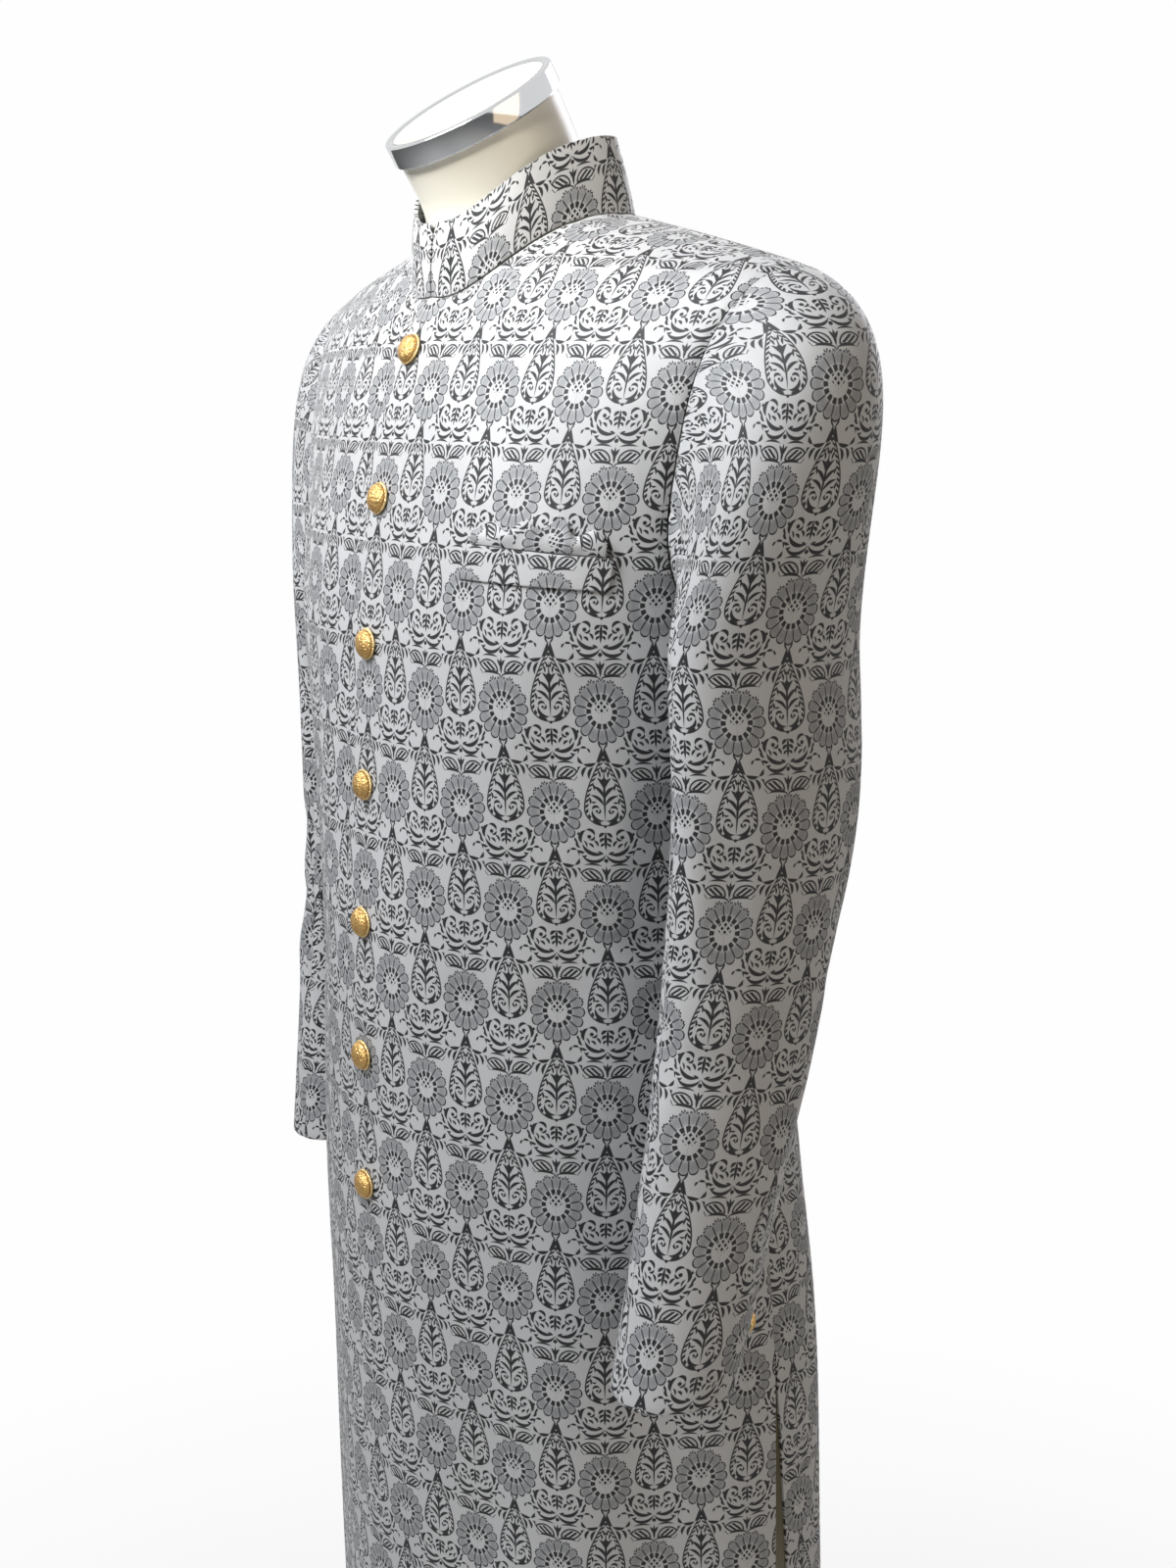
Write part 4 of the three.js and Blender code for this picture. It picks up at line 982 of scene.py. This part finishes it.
# ---- buttons
buttonSize = dict(radius=9.5, height=5.6, topZ=1390, spacing=84, count=7, cuffRadius=8, cuffUp=22,
                  cuffLift=2.8)


def selectNone():
    bpy.ops.object.select_all(action="DESELECT")


def joined(name, parts):
    selectNone()
    for part in parts:
        part.select_set(True)
    bpy.context.view_layer.objects.active = parts[0]
    bpy.ops.object.join()
    parts[0].name = name
    parts[0].data.name = name
    return parts[0]


def mark(thing, value):  # how proud a part of a button stands; its plating gets painted shade where it lies low
    layer = thing.data.attributes.new("relief", "FLOAT", "POINT")
    layer.data.foreach_set("value", np.full(len(thing.data.vertices), value, np.float32))


def makeButton():
    # a domed shell with a beaded rim and open scrolls round a flower, one unit in radius, rising to 0.59
    selectNone()
    parts = []
    bpy.ops.mesh.primitive_uv_sphere_add(segments=40, ring_count=20, radius=0.9)
    dome = bpy.context.object
    bpy.ops.object.mode_set(mode="EDIT")
    bpy.ops.mesh.select_all(action="SELECT")
    bpy.ops.mesh.bisect(plane_co=(0, 0, 0), plane_no=(0, 0, 1), clear_inner=True, use_fill=True)
    bpy.ops.mesh.select_all(action="SELECT")
    bpy.ops.transform.resize(value=(1, 1, 0.52))
    bpy.ops.object.mode_set(mode="OBJECT")
    mark(dome, 0.0)
    parts.append(dome)

    def raised(make, place, turn=(0, 0, 0), size=(1, 1, 1), value=1.0):
        make()
        thing = bpy.context.object
        thing.matrix_world = Matrix.LocRotScale(Vector(place), Euler(turn), Vector(size))
        bpy.ops.object.transform_apply(location=True, rotation=True, scale=True)
        mark(thing, value)
        parts.append(thing)

    def onDome(radius, angle):  # a place on the dome and how it tilts there
        height = 0.52 * math.sqrt(max(0, 0.81 - radius * radius))
        return (radius * math.cos(angle), radius * math.sin(angle), height), math.atan2(0.27 * radius, height)

    raised(lambda: bpy.ops.mesh.primitive_torus_add(major_radius=0.9, minor_radius=0.09, major_segments=48,
                                                    minor_segments=8), (0, 0, 0.1), value=0.9)
    for k in range(26):
        angle = k * 2 * math.pi / 26
        raised(lambda: bpy.ops.mesh.primitive_ico_sphere_add(subdivisions=1, radius=0.075),
               (0.8 * math.cos(angle), 0.8 * math.sin(angle), 0.25), value=0.85)
    for k in range(6):
        angle = k * math.pi / 3
        for radius, big, shift in ((0.52, 0.17, 0), (0.6, 0.1, 0.42), (0.36, 0.09, 0.5)):
            place, tilt = onDome(radius, angle + shift)
            raised(lambda: bpy.ops.mesh.primitive_torus_add(
                major_radius=big, minor_radius=0.066, major_segments=18, minor_segments=6),
                place, (0, tilt, angle + shift))
        place, tilt = onDome(0.2, angle)
        raised(lambda: bpy.ops.mesh.primitive_uv_sphere_add(segments=10, ring_count=6, radius=0.1), place,
               (0, tilt, angle), (1.3, 0.8, 0.7))
    raised(lambda: bpy.ops.mesh.primitive_uv_sphere_add(segments=12, ring_count=8, radius=0.1), (0, 0, 0.48))
    whole = joined("button", parts)
    whole.data.materials.clear()
    whole.data.materials.append(giltMetal)
    whole.data.shade_smooth()
    return whole


master = makeButton()


def placeButton(name, radius, at, facing):  # a copy with its own mesh, its back on the cloth
    copy = bpy.data.objects.new(name + "_gilt", master.data.copy())
    bpy.context.scene.collection.objects.link(copy)
    turnTo = Vector((0, 0, 1)).rotation_difference(Vector(facing)).to_matrix().to_4x4()
    size = Matrix.Diagonal((radius * mm, radius * mm, buttonSize["height"] / 0.59 * mm, 1))
    copy.data.transform(Matrix.Translation(Vector(at) * mm) @ turnTo @ size)
    lastly(copy, name)


def frontCentre(z):
    z = np.array(float(z))
    if z <= coat["armpit"]:
        return sectionPoint(rowAt(bodyRows, "z", z), -1, 0, z)
    return archPoint(bodyRows, coat["archWidth"], 0, -1, 0, centreRise(z))


for k in range(buttonSize["count"]):
    z = buttonSize["topZ"] - k * buttonSize["spacing"]
    rising = frontCentre(z + 1) - frontCentre(z - 1)
    facing = Vector((0, -rising[2], rising[1])).normalized()
    placeButton(f"button_{k + 1}", buttonSize["radius"], Vector(frontCentre(z)) + facing * 0.3, facing)
for name, side in (("left", 1), ("right", -1)):
    row = rowAt(sleeveRows, "z", sleeveRows["z"][-1] + buttonSize["cuffUp"])
    at, beside = Vector(sleevePoint(row, side, backSeam)), Vector(sleevePoint(row, side, backSeam + 2))
    facing = (beside - at).cross(Vector((0, 0, 1))).normalized()
    at = at + facing * buttonSize["cuffLift"]
    at.x, facing.x = at.x * side, facing.x * side
    placeButton(f"cuff_button_{name}", buttonSize["cuffRadius"], at, facing)
bpy.data.objects.remove(master)
print("buttons sewn on")

# ---- dress form and stand
form = dict(archWidth=206, dropped=8, sides=96)


def ringMesh(name, rings):  # a closed solid through rings, with flat ends
    count = len(rings[0])
    points = [tuple(p) for ring in rings for p in ring]
    corners = [(0, 0), (0, 1), (1, 1), (1, 0)]
    faces = [[(j + up) * count + (i + on) % count for up, on in corners]
             for j in range(len(rings) - 1) for i in range(count)]
    faces += [tuple(range(count))[::-1], tuple(range((len(rings) - 1) * count, len(rings) * count))]
    mesh = bpy.data.meshes.new(name)
    mesh.from_pydata([(x * mm, y * mm, z * mm) for x, y, z in points], [], faces)
    solid = bpy.data.objects.new(name, mesh)
    bpy.context.scene.collection.objects.link(solid)
    return solid


def formRing(pointAt):
    turns = np.linspace(-90, 90, form["sides"] // 2 + 1)
    front, behind = pointAt(-1, np.abs(turns)), pointAt(1, np.abs(turns))
    front[turns < 0, 0] *= -1
    behind[turns > 0, 0] *= -1
    return np.concatenate([front[:-1], behind[:-1]])


def makeForm():
    low = formRows["z"][0]
    def bodyAt(z):
        return lambda face, turn: sectionPoint(rowAt(formRows, "z", np.full(turn.shape, z)), face, turn, z)

    def chestAt(rise):
        return lambda face, turn: archPoint(formRows, form["archWidth"], form["dropped"], face, turn,
                                            np.full(turn.shape, rise))

    rings = [formRing(bodyAt(z)) for z in np.linspace(low, coat["armpit"], 40)]
    rings += [formRing(chestAt(rise)) for rise in np.linspace(0, 88, 30)[1:]]
    torso = ringMesh("form_body_shell", rings)
    around = np.radians(np.linspace(0, 360, form["sides"] + 1)[:-1])
    neckRings = []
    for z in np.linspace(neckRows["z"][0], neckRows["z"][-1], 24):
        row = rowAt(neckRows, "z", z)
        tip = math.radians(float(row["tip"]))
        over = row["radius"] * np.sin(around)
        neckRings.append(stacked(row["radius"] * np.cos(around), row["y"] + over * math.cos(tip),
                                 row["z"] + over * math.sin(tip)))
    neck = ringMesh("neck", neckRings)
    union = torso.modifiers.new("neck", "BOOLEAN")
    union.operation = "UNION"
    union.object = neck
    bpy.context.view_layer.objects.active = torso
    bpy.ops.object.modifier_apply(modifier="neck")
    bpy.data.objects.remove(neck)
    torso.data.materials.append(ivoryShell)
    selectNone()
    torso.select_set(True)
    bpy.ops.object.shade_smooth_by_angle(angle=math.radians(50))
    lastly(torso, "form_body")


makeForm()


def turned(name, radius, bottom, top, bevel, sides, material):
    # a disc or rod with softened edges, added at its size and bevelled
    selectNone()
    bpy.ops.mesh.primitive_cylinder_add(vertices=sides, radius=radius * mm, depth=(top - bottom) * mm,
                                        location=(0, 0, (top + bottom) / 2 * mm))
    made = bpy.context.object
    made.name = name
    bpy.ops.object.transform_apply(location=True, rotation=True, scale=True)
    soft = made.modifiers.new("soft edge", "BEVEL")
    soft.width = bevel * mm
    soft.segments = 4
    soft.limit_method = "ANGLE"
    soft.angle_limit = math.radians(50)
    bpy.ops.object.modifier_apply(modifier="soft edge")
    bpy.ops.object.shade_smooth_by_angle(angle=math.radians(35))
    made.data.materials.append(material)
    return made


stand = dict(poleRadius=12.5, baseRadius=190, baseHeight=12, capRadius=53.5, capHeight=14, capInset=3.5,
             capSink=1.2, clear=0.3)


def makeCap():  # a chromed band with the form's own white shell inside it
    cap = turned("form_neck_cap_band", stand["capRadius"], stand["clear"], stand["capHeight"], 1.2, 96,
                 chromeMetal)
    cap.data.materials.append(ivoryShell)
    bpy.ops.object.mode_set(mode="EDIT")
    bpy.ops.mesh.select_all(action="DESELECT")
    work = bmesh.from_edit_mesh(cap.data)
    top = max(work.faces, key=lambda face: (round(face.calc_center_median().z, 5), face.calc_area()))
    top.select = True
    bmesh.update_edit_mesh(cap.data)
    bpy.ops.mesh.inset(thickness=stand["capInset"] * mm, depth=0)
    bpy.ops.mesh.inset(thickness=0.6 * mm, depth=-stand["capSink"] * mm)
    work = bmesh.from_edit_mesh(cap.data)
    for face in work.faces:
        if face.select:
            face.material_index = 1
    bmesh.update_edit_mesh(cap.data)
    bpy.ops.object.mode_set(mode="OBJECT")
    tilt = Matrix.Rotation(math.radians(float(neckRows["tip"][-1])), 4, "X")
    cap.data.transform(Matrix.Translation((0, neckRows["y"][-1] * mm, neckRows["z"][-1] * mm)) @ tilt)
    lastly(cap, "form_neck_cap")


makeCap()
pole = turned("stand_pole_tube", stand["poleRadius"], stand["baseHeight"] + stand["clear"],
              formRows["z"][0] - stand["clear"], 1, 48, brushedSteel)
lastly(pole, "stand_pole")
base = turned("stand_base_disc", stand["baseRadius"], 0, stand["baseHeight"], 2.5, 160, brushedSteel)
lastly(base, "stand_base")
print("form and stand set")

# ---- the cloth pieces, with flat size in metres, area, how each hangs and what it rests on listed but not read; each is attached and its part hidden
sheets = [
    (frontLeft, "front_left", (0.33, 1.06), 0.31, "hung", ["form_body_shell"]),
    (frontRight, "front_right", (0.33, 1.06), 0.31, "hung", ["form_body_shell"]),
    (back, "back", (0.56, 1.10), 0.50, "hung", ["form_body_shell"]),
    (backLining, "lining_back_skirt", (0.56, 0.45), 0.22, "hung", ["back_cloth"]),
    (leftSleeve[0], "sleeve_left_top", (0.22, 0.64), 0.092, "hung", ["front_left_cloth", "back_cloth"]),
    (leftSleeve[1], "sleeve_left_under", (0.18, 0.56), 0.062, "hung", ["front_left_cloth", "back_cloth"]),
    (rightSleeve[0], "sleeve_right_top", (0.22, 0.64), 0.092, "hung", ["front_right_cloth", "back_cloth"]),
    (rightSleeve[1], "sleeve_right_under", (0.18, 0.56), 0.062, "hung", ["front_right_cloth", "back_cloth"]),
    (collar, "collar", (0.42, 0.043), 0.018, "stretched",
     ["front_left_cloth", "front_right_cloth", "back_cloth"]),
    (welt, "pocket_welt", (0.11, 0.021), 0.0019, "laid", ["front_left_cloth"]),
    (square, "pocket_square", (0.10, 0.022), 0.0012, "folded", ["front_left_cloth"]),
]
for cloth, node, flat, area, held, restsOn in sheets:
    lastly(cloth, node)

# ---- floor
# the floor's size and distances are metres
floor = dict(size=24.0, under=0.0005, paint="#f4f4f2", paintRough=0.5, plainTo=0.3, whiteFrom=1.5,
             leastWhite=0.75)
selectNone()
bpy.ops.mesh.primitive_plane_add(size=floor["size"], location=(0, 0, -floor["under"]))
ground = bpy.context.object
ground.name = "studio_floor"
paint, put = newMaterial("white studio floor")
away = put("VectorMath", put("TexCoord", out=3), operation="LENGTH", out=1)
glow = put("MapRange", away, floor["plainTo"], floor["whiteFrom"], floor["leastWhite"], 1.0,
           interpolation_type="SMOOTHSTEP")
plainPaint = put("BsdfDiffuse", linear(floor["paint"]), floor["paintRough"])
whitened = put("Emission", linear(studio["air"]), 1.0)
seen = put("Math", glow, put("LightPath"), operation="MULTIPLY")
put("OutputMaterial", put("MixShader", seen, plainPaint, whitened))
ground.data.materials.append(paint)
